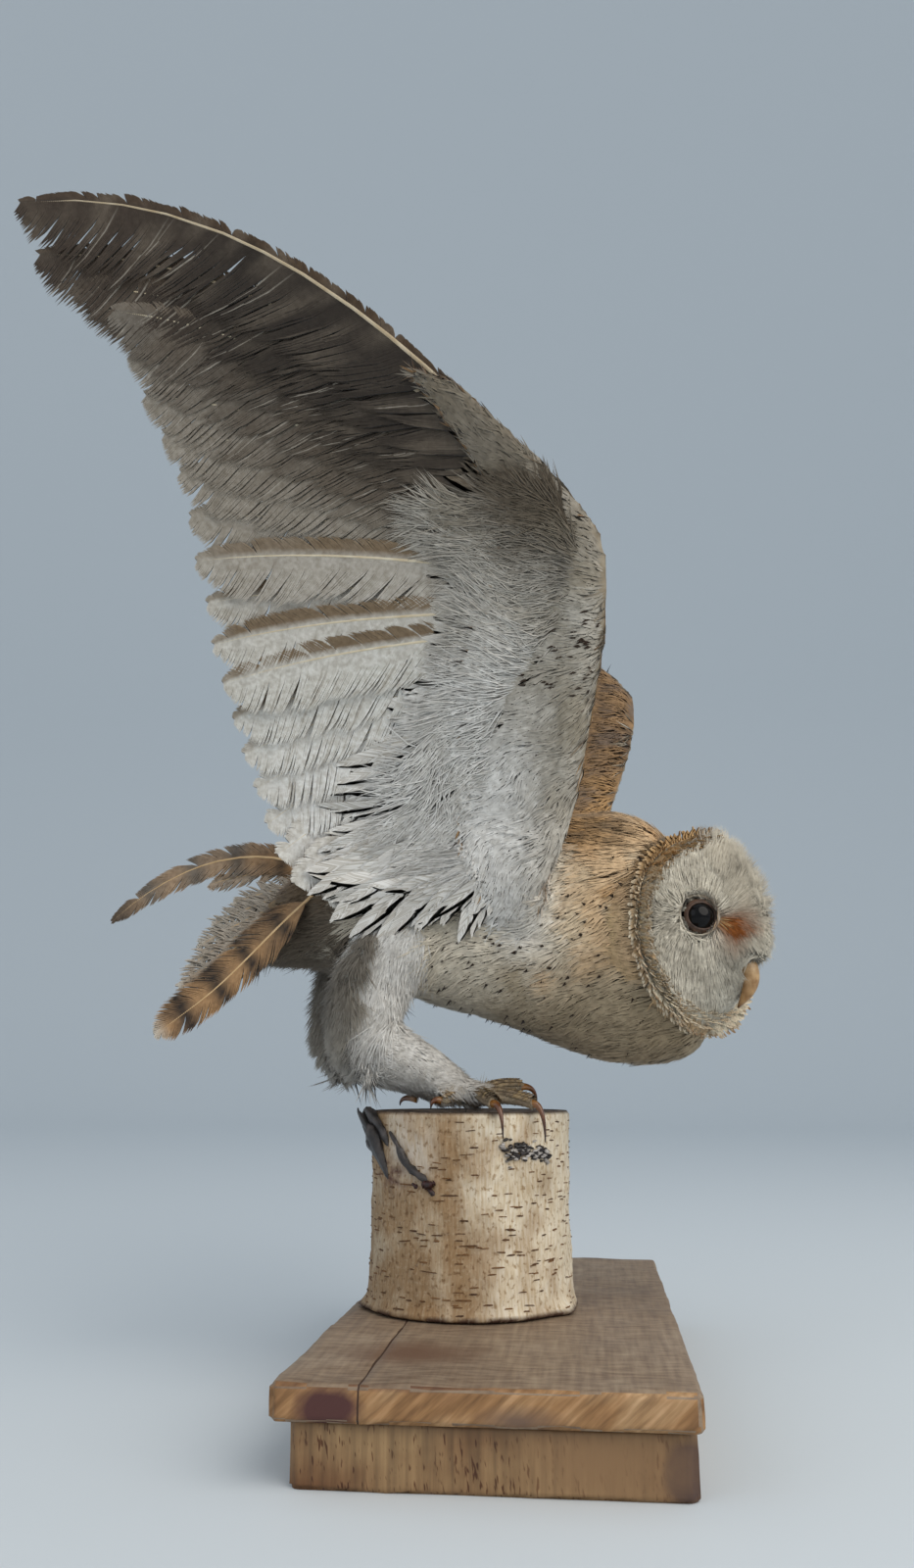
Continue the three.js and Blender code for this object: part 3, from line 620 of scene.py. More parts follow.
def head_plumage(points, owner, tone, wander, fine):
    """The head's colours over the body's."""
    forward, right, up = head_axes(points)
    head = (owner == FLESH.index("head"))[..., None]
    crown = over(over(linear(TAWNY), SPECKLE, 0.5 + 0.5 * fine), "#8C7B66", 0.3 + 0.3 * wander)
    cheek = over(linear(BUFF), "#D6B98E", 0.5 + 0.5 * wander)
    high = ramp(up, 4, 26)[..., None]
    coat = crown * high + cheek * (1 - high)
    reach = np.hypot(right / HEAD_HALF_WIDTH, (up - HEAD_MIDDLE) / HEAD_HALF_HEIGHT)
    facing = (reach < 0.97) & (forward > face_front(right, up) - 9)
    disc = over(linear(DISC), "#B9B2A3", np.clip(0.25 + 0.3 * fine + 0.3 * wander, 0, 1))
    inward = EYE_ACROSS - np.abs(right)
    ahead = np.maximum(forward - face_front(EYE_ACROSS, 0.0), 0)
    run = np.sign(inward) * np.hypot(inward, ahead)
    radius = np.hypot(run, up)
    angle = np.degrees(np.arctan2(up, run))
    # Grey-brown crescent above the eye: painted shade under the brow.
    disc = over(disc, "#7C6C5B", 0.65 * ramp(angle, 35, 90) * (1 - ramp(angle, 160, 180)) * (1 - ramp(radius, 9, 15)))
    fan = np.exp(-((angle + 30) / 32) ** 2) * (1 - ramp(radius + 1.5 * fine, 13, 24)) * ramp(radius, 5, 7)
    disc = over(disc, RUST, np.clip(1.4 * fan, 0, 1))
    disc = over(disc, "#EAD79F", 0.9 * np.exp(-((angle + 32) / 16) ** 2 - ((radius - 8.6) / 1.6) ** 2))
    disc = over(disc, "#6A5442", 0.7 * (1 - ramp(radius, 7.6, 9.6)) * (1 - 0.6 * np.exp(-((angle + 30) / 20) ** 2)))
    coat = np.where(facing[..., None], disc, coat)
    return np.where(head, coat, tone)


# ---------------------------------------------------------------- which way the coat lies
THIGH_WAY = [(20, 0.1, -1.0), (40, 0.0, -1.0), (60, -0.1, -1.0), (78, -0.35, -0.93), (100, -0.6, -0.8)]
WING_WAY = [(-50, -0.55, -0.83), (0, -0.7, -0.7), (40, -0.92, -0.35), (80, -0.99, -0.1), (120, -0.97, 0.22),
            (160, -0.86, 0.5), (200, -0.8, 0.6)]


def lie(points, owner):
    """The way the coat lies at places of the skin, before it is laid along the surface."""
    way = np.empty_like(points)
    way[:] = (-1.0, 0.0, -0.28)
    x, y, z = points[..., 0], points[..., 1], points[..., 2]
    low = ramp(60 - z, 0, 25) * ramp(x, 40, 70)
    way[..., 2] += 0.15 * low
    legs = np.char.find(NAMES[owner], "thigh") >= 0
    down = through(THIGH_WAY, z)
    way[legs] = np.stack([down[..., 0], 0 * z, down[..., 1]], -1)[legs]
    shank = np.char.find(NAMES[owner], "shank") >= 0
    way[shank] = (0.92, 0.0, -0.38)
    foot = np.char.find(NAMES[owner], "foot") >= 0
    way[foot] = (0.95, 0.0, -0.2)
    wing = np.char.find(NAMES[owner], "wing") >= 0
    h, bulge = wing_axes(points)
    flow = through(WING_WAY, h)
    side = np.sign(y)
    wing_flow = np.stack([flow[..., 0], side * flow[..., 1] * math.sin(WING_LEAN), flow[..., 1] * math.cos(WING_LEAN)], -1)
    way[wing] = wing_flow[wing]
    forward, right, up = head_axes(points)
    spread = right[..., None] * HEAD_RIGHT + (up - HEAD_MIDDLE)[..., None] * UP
    back = -HEAD_FORWARD + 0.25 * unit(spread)
    radial = np.sign(right)[..., None] * (np.abs(right) - EYE_ACROSS)[..., None] * HEAD_RIGHT + up[..., None] * UP
    reach = np.hypot(right / HEAD_HALF_WIDTH, (up - HEAD_MIDDLE) / HEAD_HALF_HEIGHT)
    facing = (reach < 0.97) & (forward > face_front(right, up) - 9)
    head = owner == FLESH.index("head")
    way[head] = back[head]
    way[head & facing] = unit(radial)[head & facing]
    return unit(way)


NAMES = np.array(FLESH)


def disc_faces():
    """Which faces of the skin lie on the facial disc."""
    forward, right, up = head_axes(skin.centre)
    reach = np.hypot(right / HEAD_HALF_WIDTH, (up - HEAD_MIDDLE) / HEAD_HALF_HEIGHT)
    return (skin.owner == FLESH.index("head")) & (reach < 0.93) & (forward > face_front(right, up) - 8)


def faces_of(*parts):
    """The skin's faces under these parts of the body."""
    return np.isin(skin.owner, [FLESH.index(part) for part in parts])


SETTLE_LIMIT = 7.0
SHOWN = 0.9


def gathered(root, tip, flow, draw, each):
    """Gathers strands into locks of about each: how far their tips move together, and each one's lock."""
    locks = max(1, len(root) // each)
    tree = KDTree(locks)
    for index, place in enumerate(root[:locks].tolist()):
        tree.insert(place, index)
    tree.balance()
    lock = np.array([tree.find(place)[1] for place in root.tolist()])
    pull = tip[lock] - tip
    return pull - 0.7 * flow * (pull * flow).sum(-1, keepdims=True), lock



def tufts(name, where, count, length, wide, stand, seed, deep=0.5, scatter=0.22, curl=0.12, way=None,
          weight=None, shape=FIBRE, run=FIBRE_RUN, profile=(0.0, 1.0, 0.0), tint=None, material=DOWN, painted_root_shade=0.9,
          painted_tip_light=1.03, base=-0.08, vary=0.04, softness=0.85, each=16, pull=0.45):
    """A piece of coat: count tufts rooted all over the chosen faces of the skin, each lying along it."""
    draw = np.random.default_rng(seed)
    faces = np.flatnonzero(where)
    chance = skin.area[faces] * (1.0 if weight is None else weight[faces])
    faces = draw.choice(faces, count, p=chance / chance.sum())
    corners = skin_points[skin.corners[faces]]
    blend_u, blend_v = draw.uniform(0, 1, (2, count, 1))
    root = (corners[:, 0] * (1 - blend_u) + corners[:, 1] * blend_u) * (1 - blend_v)
    root = root + (corners[:, 3] * (1 - blend_u) + corners[:, 2] * blend_u) * blend_v
    normal = skin.normal[faces]
    owner = skin.owner[faces]
    flow = lie(root, owner) if way is None else way(root, owner)
    flow = unit(flow - normal * (flow * normal).sum(-1, keepdims=True))
    turn = scatter * (1.2 * ripple(root, 16, seed + 1) + 0.8 * ripple(root, 6, seed + 2) + draw.normal(0, 0.45, count))
    flow = flow * np.cos(turn)[:, None] + np.cross(normal, flow) * np.sin(turn)[:, None]
    size = length(root, owner) if callable(length) else np.full(count, float(length))
    size = size * draw.uniform(0.75, 1.25, count)
    height = skin.face_depth[faces] * draw.uniform(0.82, 1.1, count)
    guess = root + flow * (size * 0.5)[:, None]
    middle, middle_up = settled(guess, normal)
    onward = unit(flow - middle_up * (flow * middle_up).sum(-1, keepdims=True))
    tip, tip_up = settled(middle + onward * (size * 0.5)[:, None], middle_up)
    stand = stand(root, owner) if callable(stand) else stand
    moved, lock = gathered(root, tip, flow, draw, each)
    tip = tip + moved * pull * draw.uniform(0.3, 1.0, (count, 1))
    middle = middle + moved * pull * 0.4
    height = height * draw.uniform(0.85, 1.12, count)[lock]
    middle = middle + middle_up * (height * 0.75)[:, None]
    tip = tip + tip_up * (height * stand)[:, None]
    shown = root + flow * (size * SHOWN)[:, None]
    root = root + normal * (height * base)[:, None]
    sway = np.cross(normal, flow) * (curl * size * draw.normal(0, 1, count))[:, None]
    t = np.array(run)
    share = np.stack([(1 - t) * (1 - 2 * t), 4 * t * (1 - t), t * (2 * t - 1)], -1)
    centre = (share[:, 0, None] * root[:, None] + share[:, 1, None] * middle[:, None]
              + share[:, 2, None] * tip[:, None] + (t * t)[:, None] * sway[:, None])
    up = unit((1 - t)[:, None] * normal[:, None] + t[:, None] * tip_up[:, None])
    body_tint = plumage(shown, normal, owner) if tint is None else tint(shown, owner)
    body_tint = body_tint * draw.uniform(1 - vary, 1 + vary, (count, 1)) * draw.uniform(0.92, 1.05, count)[lock][:, None]
    # Darker at the root and lighter at the tip: painted shade where strands lie under others, and painted light on
    # their tips.
    tone = body_tint[:, None] * (painted_root_shade + (painted_tip_light - painted_root_shade) * np.array(run) ** 0.7)[:, None]
    patch = skin.spot[faces][:, None] + (t[:, None] - 0.5) * np.array([0.0, PATCH])
    breadth = np.full(count, float(wide)) * draw.uniform(0.75, 1.3, count)
    return joined_strands(name, shape, centre, up, breadth[:, None] * np.array(profile), deep * np.array(profile) ** 0.5, tone,
                          patch, (PATCH, 0.0), material, softness=softness, barbed=material is COVERT)


def settled(points, before):
    """Points laid on the skin, except where they have run off its edge."""
    place, normal = skin.settle(points)
    far = np.linalg.norm(place - points, axis=-1) > SETTLE_LIMIT
    place[far] = points[far]
    normal[far] = before[far]
    return place, normal


co = np.zeros(len(skin.mesh.vertices) * 3)
skin.mesh.vertices.foreach_get("co", co)
skin_points = unplaced(co.reshape(-1, 3))
skin.mesh.vertices.foreach_get("normal", co)
skin_normals = Skin.turned(co.reshape(-1, 3))


# How much darker the skin is than its coat: painted shade under the coat.
SKIN_PAINTED_SHADE = 0.97


def dress_skin():
    """Gives the skin the coat's own markings, a touch darker as painted shade under the coat, and lets it stand for the
    flesh.
    """
    tone = plumage(skin_points, skin_normals, skin.vertex_owner) * SKIN_PAINTED_SHADE
    layer = skin.mesh.color_attributes.new("tint", "FLOAT_COLOR", "POINT")
    layer.data.foreach_set("color", np.concatenate([tone, np.ones((len(tone), 1))], -1).astype(np.float32).ravel())
    skin.mesh.shade_smooth()
    skin.mesh.materials.append(SKIN)
    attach(skin.holder, "root")
    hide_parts(*FLESH)


dress_skin()
disc = disc_faces()
body = faces_of("trunk", "neck")
forward_body = body & (skin.centre[:, 0] > 14)
rear_body = body & ~forward_body
head_back = faces_of("head") & ~disc
tufts("breast_coat", forward_body, 24000, 12, 1.45, 0.85, 11, scatter=0.15, each=30, pull=0.25)
tufts("belly_coat", rear_body, 19000, 15, 1.4, 0.9, 12, scatter=0.16, each=26, pull=0.35)
tufts("crown_coat", head_back, 16000, 8, 1.0, 0.95, 13, scatter=0.16, each=14, pull=0.3)
for number, side in enumerate(SIDES):
    legs = faces_of(f"{side}_thigh")
    tufts(f"{side}_thigh_coat", legs, 12000 if side == "right" else 8000, 18, 1.0, 1.05, 20 + number, scatter=0.2, each=22, pull=0.55)
    tufts(f"{side}_shank_coat", faces_of(f"{side}_shank"), 6000, 8, 0.85, 1.0, 24 + number)
    wing = faces_of(f"{side}_wing_arm", f"{side}_wing_hand")
    tufts(f"{side}_wing_coat", wing, 20000 if side == "right" else 13000, 13, 1.35, 0.95, 28 + number,
          scatter=0.26)


rear = faces_of("trunk") & (skin.centre[:, 0] < -46) & (skin.centre[:, 0] > -96)


def rearward(root, owner):
    """Loose feathers over the root of the tail."""
    return np.broadcast_to(unit(np.array([-1.0, 0.0, -0.34])), root.shape)


def vent_tint_with_painted_shade(root, owner):
    # Greyer and darker low down under the rump: painted shade.
    low = 1 - ramp(root[:, 2], 84, 112)
    return over(over(linear("#7D654A"), "#7E7466", 0.85 * low), "#5E554A", 0.35 * np.clip(ripple(root, 9, 44), 0, 1) * low)


tufts("tail_coverts", rear, 7000, 22, 1.1, 1.5, 43, scatter=0.18, way=rearward, tint=vent_tint_with_painted_shade, each=18,
      pull=0.5)


def vent_leaf_tint(root, owner):
    tone = over(linear("#A08560"), "#5E4B39", np.clip(0.5 + 0.6 * ripple(root, 8, 47), 0, 1))
    return over(tone, "#C9C1B3", 0.6 * (1 - ramp(root[:, 2], 76, 96)))


tail_root = faces_of("trunk") & (skin.centre[:, 0] < -56) & (skin.centre[:, 2] > 92)
tufts("tail_covert_feathers", tail_root, 260, 26, 7.0, 1.0, 48, shape=PLUME, run=PLUME_RUN,
      profile=(0.4, 0.85, 1.0, 1.0, 0.85, 0.5, 0.0), material=COVERT, base=0.3, way=rearward, tint=vent_leaf_tint,
      scatter=0.14, pull=0.0, softness=0.8, vary=0.12)


def trousers(side):
    """Long loose down that hangs behind a thigh and over the heel."""
    thigh = faces_of(f"{side}_thigh") & (skin.normal[:, 0] < -0.4) & (skin.centre[:, 2] < 86)
    heel = faces_of(f"{side}_shank") & (skin.normal[:, 0] * 0.5 - skin.normal[:, 2] > 0.1) & (skin.centre[:, 0] < -18)

    def hang(root, owner):
        return np.broadcast_to(unit(np.array([-0.05, 0.0, -1.0])), root.shape)

    def hung(root, owner):
        return np.clip(0.5 * (root[:, 2] - 20), 3, 17)

    def grey(root, owner):
        # Grey-brown, darker higher up towards the body: painted shade behind the thigh; whiter at the bottom.
        tone = over(linear("#BDB6AA"), "#857C70", 0.75 * ramp(root[:, 2] - 0.3 * root[:, 0], 34, 70))
        return over(tone, WHITE, 0.5 * (1 - ramp(root[:, 2], 16, 30)))

    tufts(f"{side}_trousers", thigh, 5000 if side == "right" else 3000, hung, 0.9, 2.1, 45, way=hang, tint=grey, scatter=0.24, each=24, pull=0.6)
    tufts(f"{side}_heel_down", heel, 1300, 4.5, 0.7, 1.3, 46, scatter=0.3, each=12, pull=0.5)


for side in SIDES:
    trousers(side)
tufts("facial_disc", disc, 26000, 7.5, 0.45, 1.0, 40, deep=0.25, scatter=0.08, curl=0.05, vary=0.03,
      painted_root_shade=0.97, each=3, pull=0.15)


# ---------------------------------------------------------------- flight feathers
BARB_STEP = {"right": 0.8, "left": 1.25}
BARB_SWEEP = 1.05
VANE_START = 0.1
VANE_ROUND = 0.78
SHAFT_STATIONS = 41


def vane_barbs(shaft, inward, out, reach, start, draw, rag, tilt, step, taper=0.0):
    """Barbs of one side of a vane. shaft, inward and out are lines of points and ways at even shares of the shaft;
    reach is the vane's half width, below 0 for the other side. Returns centres, ways up, and each ring's place
    along the shaft and across the vane, both as shares."""
    lengths = np.r_[0, np.cumsum(np.linalg.norm(np.diff(shaft, axis=0), axis=1))]
    total = lengths[-1]
    breadth = abs(reach)
    roots = np.arange(start * total, 0.985 * total, step)
    count = len(roots)
    run = total - roots
    sweep = BARB_SWEEP * breadth
    ends = roots + run * sweep / (run + sweep)
    share = ends / total
    rounding = np.clip((share - VANE_ROUND) / (1 - VANE_ROUND), 0, 1)
    width = breadth * (0.55 + 0.45 * ramp(share, start, start + 0.3)) * np.sqrt(1 - rounding**2.4 + 1e-6)
    width = width * (1 - taper * share)
    group = np.cumsum(draw.uniform(0, 1, count) < 1 / max(9.0 - 3.2 * rag, 2.2))
    groups = group[-1] + 1
    middle = np.bincount(group, ends, groups) / np.maximum(np.bincount(group, minlength=groups), 1)
    pull = draw.uniform(0.1, 0.3 + 0.7 * rag, groups)[group]
    ends = ends + (middle[group] - ends) * pull + draw.normal(0, 0.5 * rag, groups)[group]
    ends = np.minimum(ends, total * 1.004)
    width = width * (1 + draw.normal(0, 0.03 + 0.06 * rag, groups)[group] - np.abs(draw.normal(0, 0.05 + 0.12 * rag, count)))
    t = LOCK_RUN
    turn = roots + 0.3 * (ends - roots)
    along = ((1 - t) ** 2 * roots[:, None] + 2 * t * (1 - t) * turn[:, None] + t * t * ends[:, None]) / total
    away = 2 * t * (1 - t) * 0.6 * width[:, None] + t * t * width[:, None]
    rise = tilt * away + draw.normal(0, 0.12 + 0.5 * rag, groups)[group][:, None] * (away / breadth) ** 2
    spots = np.clip(along, 0, 1) * (len(shaft) - 1)
    keys = np.arange(len(shaft))
    on_line = np.stack([np.interp(spots, keys, shaft[:, i]) for i in range(3)], -1)
    inner = np.stack([np.interp(spots, keys, inward[:, i]) for i in range(3)], -1)
    above = np.stack([np.interp(spots, keys, out[:, i]) for i in range(3)], -1)
    centre = on_line + inner * (np.sign(reach) * away)[..., None] + above * rise[..., None]
    return centre, above, along, np.sign(reach) * away / breadth


def wing_ways(side):
    """Ways along x, up the wing and out of it, for one wing."""
    up_wing = np.array([0.0, side * math.sin(WING_LEAN), math.cos(WING_LEAN)])
    out = np.array([0.0, side * math.cos(WING_LEAN), -math.sin(WING_LEAN)])
    return np.array([1.0, 0.0, 0.0]), up_wing, out


INNER_REACH = [(0, 35), (1, 33), (2, 30), (4, 26), (9, 23), (17, 21), (22, 18)]
INNER_TILT = 0.13
OUTER_REACH = [(0, 4.4), (1, 6.0), (4, 7.5), (9, 8.5), (17, 9.5), (22, 10)]
SLIPPED = {9: 3.0, 11: 3.4, 12: 3.8}
BARS = (0.12, 0.27, 0.43, 0.6, 0.77, 0.92)


def bars(share, sharp=0.022):
    return np.clip(sum(np.exp(-(((share - place) / sharp) ** 2)) for place in BARS), 0, 1)


# Under colours of the flight feathers by number: dark brown at the outer hand, partly the feathers' own colour and
# partly painted shade; white towards the body.
UNDER_TONES_WITH_PAINTED_SHADE = [(0, *linear("#382F26")), (3, *linear("#4A4035")), (5, *linear("#6A5F52")), (7, *linear("#9A9184")),
               (9, *linear("#C2BBB0")),
               (12, *linear("#E2DFD7")), (16, *linear("#F3F1EC")), (22, *linear("#F3F1EC"))]


def flight_tints(number, share, across, points):
    """The under and upper colours of a wing feather's vane."""
    blotch = ripple(points, 9, 51 + number)
    outer = across < 0
    tip = ramp(share, 0.9, 1.0)
    hand = float(1 - ramp(number, 0.5, 7))
    inner_under = np.broadcast_to(through(UNDER_TONES_WITH_PAINTED_SHADE, number), points.shape)
    outer_under = over(linear("#89755C"), "#5A4632", hand * np.ones_like(share))
    outer_under = over(outer_under, "#E6E2DA", ramp(np.full_like(share, number), 13, 15))
    under = np.where(outer[..., None], outer_under, inner_under)
    dark = bars(share) * (1 - 0.85 * ramp(np.abs(across), 0.1, 0.5)) * (0.12 + 0.75 * hand)
    under = over(under, "#2B221A", np.clip(dark + 0.12 * hand * blotch, 0, 1))
    under = over(under, "#54463A", 0.6 * hand * ramp(share, 0.55, 0.9))
    under = over(under, "#8A7D6D", 0.35 * hand * np.clip(-blotch, 0, 1))
    under = over(under, "#D9D4C9", 0.5 * tip * (1 - hand))
    under = over(under, "#A89F92", 0.8 * ramp(share + 0.1 * blotch, 0.5, 0.98) * float(ramp(number, 1.0, 6.0) * (1 - ramp(number, 8, 10))))
    upper = np.where(outer[..., None], linear("#B08A5E"), linear("#C4AE90"))
    upper = over(upper, BAR, np.clip(0.8 * bars(share, 0.03) + 0.2 * blotch, 0, 1))
    upper = over(upper, "#8E8577", 0.6 * tip)
    return under, upper


def wing_feathers(side, label):
    """One wing's flight feathers, built barb by barb, in three pieces, and their shafts."""
    along_x, up_wing, out = wing_ways(side)
    step = BARB_STEP[label]
    shares = np.linspace(0, 1, SHAFT_STATIONS)
    groups = {"primaries": range(PRIMARIES), "secondaries": range(PRIMARIES, SECONDARIES),
              "tertials": range(SECONDARIES, FLIGHT_FEATHERS)}
    shafts = []
    for group, numbers in groups.items():
        kept = []
        for row, number in enumerate(numbers):
            draw = np.random.default_rng(500 + number + (60 if side > 0 else 0))
            line = flight_line(number, shares)
            slip = SLIPPED.get(number, 0.0) if side < 0 else 0.0
            shaft = wing_place(side, line[:, 0], line[:, 1], line[:, 2] + slip * ramp(shares, 0.1, 0.5))
            flow = unit(np.gradient(shaft, axis=0))
            inward = unit(np.cross(flow, np.broadcast_to(out, flow.shape)))
            toward = wing_place(side, *flight_line(number + 1, 0.7)) - wing_place(side, *flight_line(number, 0.7))
            inward = inward * np.sign((inward[28] * toward).sum())
            outward = unit(np.cross(inward, flow))
            outward = outward * np.sign((outward @ out)[:, None])
            rag = 0.35 if number < 3 else 0.15
            for reach, tilt in ((through(INNER_REACH, number)[0], INNER_TILT), (-through(OUTER_REACH, number)[0], -0.05)):
                tilt = 0.02 if slip else tilt
                centre, above, share, across = vane_barbs(shaft, inward, outward, reach, VANE_START, draw, rag, tilt, step)
                under, upper = flight_tints(number, share, across, centre)
                split = (draw.uniform(0, 1, len(share)) < 0.04)[:, None] * (across > 0.2) * 0.6
                under = over(under, "#B5ADA0", split)
                patch = np.stack([share, (row + 0.25 + 0.2 * across) / len(numbers)], -1)
                kept.append((centre, above, under, upper, patch))
            shafts.append((shaft, outward, number))
        centre, above, under, upper, patch = (np.concatenate(parts) for parts in zip(*kept))
        widths = step * np.array([1.5, 1.7, 1.3, 0.0])
        joined_strands(f"{label}_{group}_vanes", LOCK, centre, above, widths, 0.4, under, patch, (0.004, 0.0), VANE,
                       under_tint=upper, under_shift=(0.0, 0.5 / len(numbers)),
                       replaced=(f"{label}_{group}",))
    picks = np.linspace(0, SHAFT_STATIONS - 1, QUILL.rings).astype(int)
    centre = np.stack([shaft[picks] for shaft, _, _ in shafts])
    out_ways = np.stack([outward[picks] for _, outward, _ in shafts])
    numbers = np.array([number for _, _, number in shafts])
    thick = (2.0 - 0.045 * numbers)[:, None] * (1 - 0.85 * shares[picks]) ** 0.8
    tone = over(linear("#E2D6BC"), "#A08460", np.broadcast_to(1 - ramp(numbers, 0, 4), (1, len(numbers))).T * 0.4
                * np.ones(len(picks)))
    patch = np.stack(np.broadcast_arrays(shares[picks], (numbers[:, None] + 0.5) / FLIGHT_FEATHERS), -1)
    joined_strands(f"{label}_wing_shafts", QUILL, centre, out_ways, thick, thick, tone, patch, (0.0, 0.02), SHAFT)


for side, label in ((-1, "right"), (1, "left")):
    wing_feathers(side, label)


# ---------------------------------------------------------------- wing coverts
LEAF = (0.3, 0.75, 1.0, 1.0, 0.8, 0.45, 0.0)
SPEAR = (0.4, 0.9, 1.1, 1.0, 0.75, 0.35, 0.0)


def wing_patches(points):
    """Places on the skin's map for feathers that root on a wing."""
    where = [skin.tree.find_nearest(point)[2] for point in points.tolist()]
    return skin.spot[np.array(where)]


def coverts(name, side, face, count, numbers, roots, length, width, profile, tint, seed, shape=PLUME, run=PLUME_RUN,
            lift=(1.0, 3.0, 2.6), scatter=0.1, curl=0.06, deep=0.3, material=COVERT, barbed=True, softness=0.9):
    """Feathers that lie over the flight feathers on one face of a wing, 1 for the under side and -1 for the upper."""
    draw = np.random.default_rng(seed)
    number = draw.uniform(*numbers, count)
    low, high = np.moveaxis(through(roots, number), -1, 0)
    share = draw.uniform(low, high)
    line = flight_line(number, share)
    ahead = flight_line(number, share + 0.05)
    flow = unit((ahead - line)[:, :2])
    turn = scatter * (1.3 * ripple(line, 26, seed + 1) + draw.normal(0, 0.7, count))
    flow = np.stack([flow[:, 0] * np.cos(turn) - flow[:, 1] * np.sin(turn),
                     flow[:, 0] * np.sin(turn) + flow[:, 1] * np.cos(turn)], -1)
    size = through(length, number)[:, 0] * draw.uniform(0.72, 1.2, count)
    breadth = through(width, number)[:, 0] * draw.uniform(0.75, 1.2, count)
    total = np.linalg.norm(through(FEATHER_TIPS, number) - through(FEATHER_ROOTS, number), axis=-1)
    t = np.array(run)
    bend = curl * size * draw.normal(0, 1, count)
    x = line[:, None, 0] + flow[:, None, 0] * size[:, None] * t - flow[:, None, 1] * bend[:, None] * t * t
    h = line[:, None, 1] + flow[:, None, 1] * size[:, None] * t + flow[:, None, 0] * bend[:, None] * t * t
    camber = -CAMBER * np.sin(math.pi * np.clip(share[:, None] + t * (size / total)[:, None], 0, 1))
    low, middle, high = lift
    rise = (1 - t) * (1 - 2 * t) * low + 4 * t * (1 - t) * middle + t * (2 * t - 1) * high
    rise = rise * draw.uniform(0.75, 1.3, (count, 1)) * (1 - 0.35 * share[:, None])
    centre = wing_place(side, x, h, camber + face * rise)
    if not barbed:
        along = unit(centre[:, -1] - centre[:, 0])
        moved, _ = gathered(centre[:, 0], centre[:, -1], along, draw, 14)
        centre = centre + moved[:, None] * (0.5 * t * t)[:, None]
    out = wing_ways(side)[2] * face
    up = np.broadcast_to(out, centre.shape)
    roll = 0.25 * draw.normal(0, 1, (count, 1, 1))
    along = unit(np.gradient(centre, axis=1))
    up = unit(up + roll * np.cross(up, along))
    tone = tint(number, share, centre[:, 0], draw)
    # Darker at the root and lighter at the tip: painted shade where each feather lies under others.
    tone = tone[:, None] * (0.93 + 0.1 * t)[:, None] * draw.uniform(0.95, 1.04, (count, 1, 1))
    patch = wing_patches(centre[:, 0])[:, None] + (t[:, None] - 0.5) * np.array([0.0, PATCH])
    return joined_strands(name, shape, centre, up, breadth[:, None] * np.array(profile), deep * np.array(profile) ** 0.5,
                          tone, patch, (PATCH, 0.0), material, barbed=barbed, softness=softness)


def under_tint(number, share, points, draw):
    """Underwing coverts: white by the body, greyer and browner towards the hand, partly their own colour and partly
    painted shade.
    """
    hand = 1 - ramp(number + 9 * share + 1.2 * ripple(points, 16, 74), 4.0, 14.0)
    tone = over(linear("#CFC9BE"), "#665A4A", 0.95 * hand)
    tone = over(tone, WHITE, ramp(number + 6 * share, 10, 17))
    return over(tone, "#B3A895", 0.35 * np.clip(ripple(points, 18, 71), 0, 1) * (1 - 0.6 * ramp(number, 10, 16)))


def upper_tint(number, share, points, draw):
    """Upper coverts: golden buff veiled with grey mottling."""
    tone = over(linear(TAWNY), "#7D7064", np.clip(0.45 + 0.55 * ripple(points, 7, 72), 0, 1))
    return over(tone, "#C8A374", np.clip(ripple(points, 12, 73), 0, 1) * 0.5)


THREAD = (0.0, 1.0, 0.0)
GREATER_ROOTS = [(0, 0.0, 0.02), (3, 0.0, 0.05), (5, 0.0, 0.12), (7, 0.0, 0.22), (9, 0.0, 0.16), (17, 0.0, 0.14), (23, 0.0, 0.2)]
MEDIAN_ROOTS = [(0, -0.06, 0.0), (3, -0.06, 0.04), (5, -0.06, 0.1), (7, -0.06, 0.16), (9, -0.06, 0.12), (17, -0.06, 0.12), (23, -0.06, 0.24)]
AXILLARY_ROOTS = [(13, -0.1, 0.1), (16, -0.1, 0.2), (18, -0.1, 0.45), (20, -0.1, 0.7), (23, -0.1, 0.75)]
RUFFLE_ROOTS = [(0, -0.04, 0.0), (3, -0.04, 0.06), (5, -0.04, 0.16), (7, -0.04, 0.34), (9, -0.04, 0.24), (14, -0.04, 0.2),
                (17, -0.04, 0.34), (20, -0.04, 0.6), (23, -0.04, 0.6)]
UPPER_GREATER = [(0, 0.12, 0.4), (23, 0.12, 0.4)]
UPPER_MEDIAN = [(0, 0.0, 0.28), (23, 0.0, 0.28)]
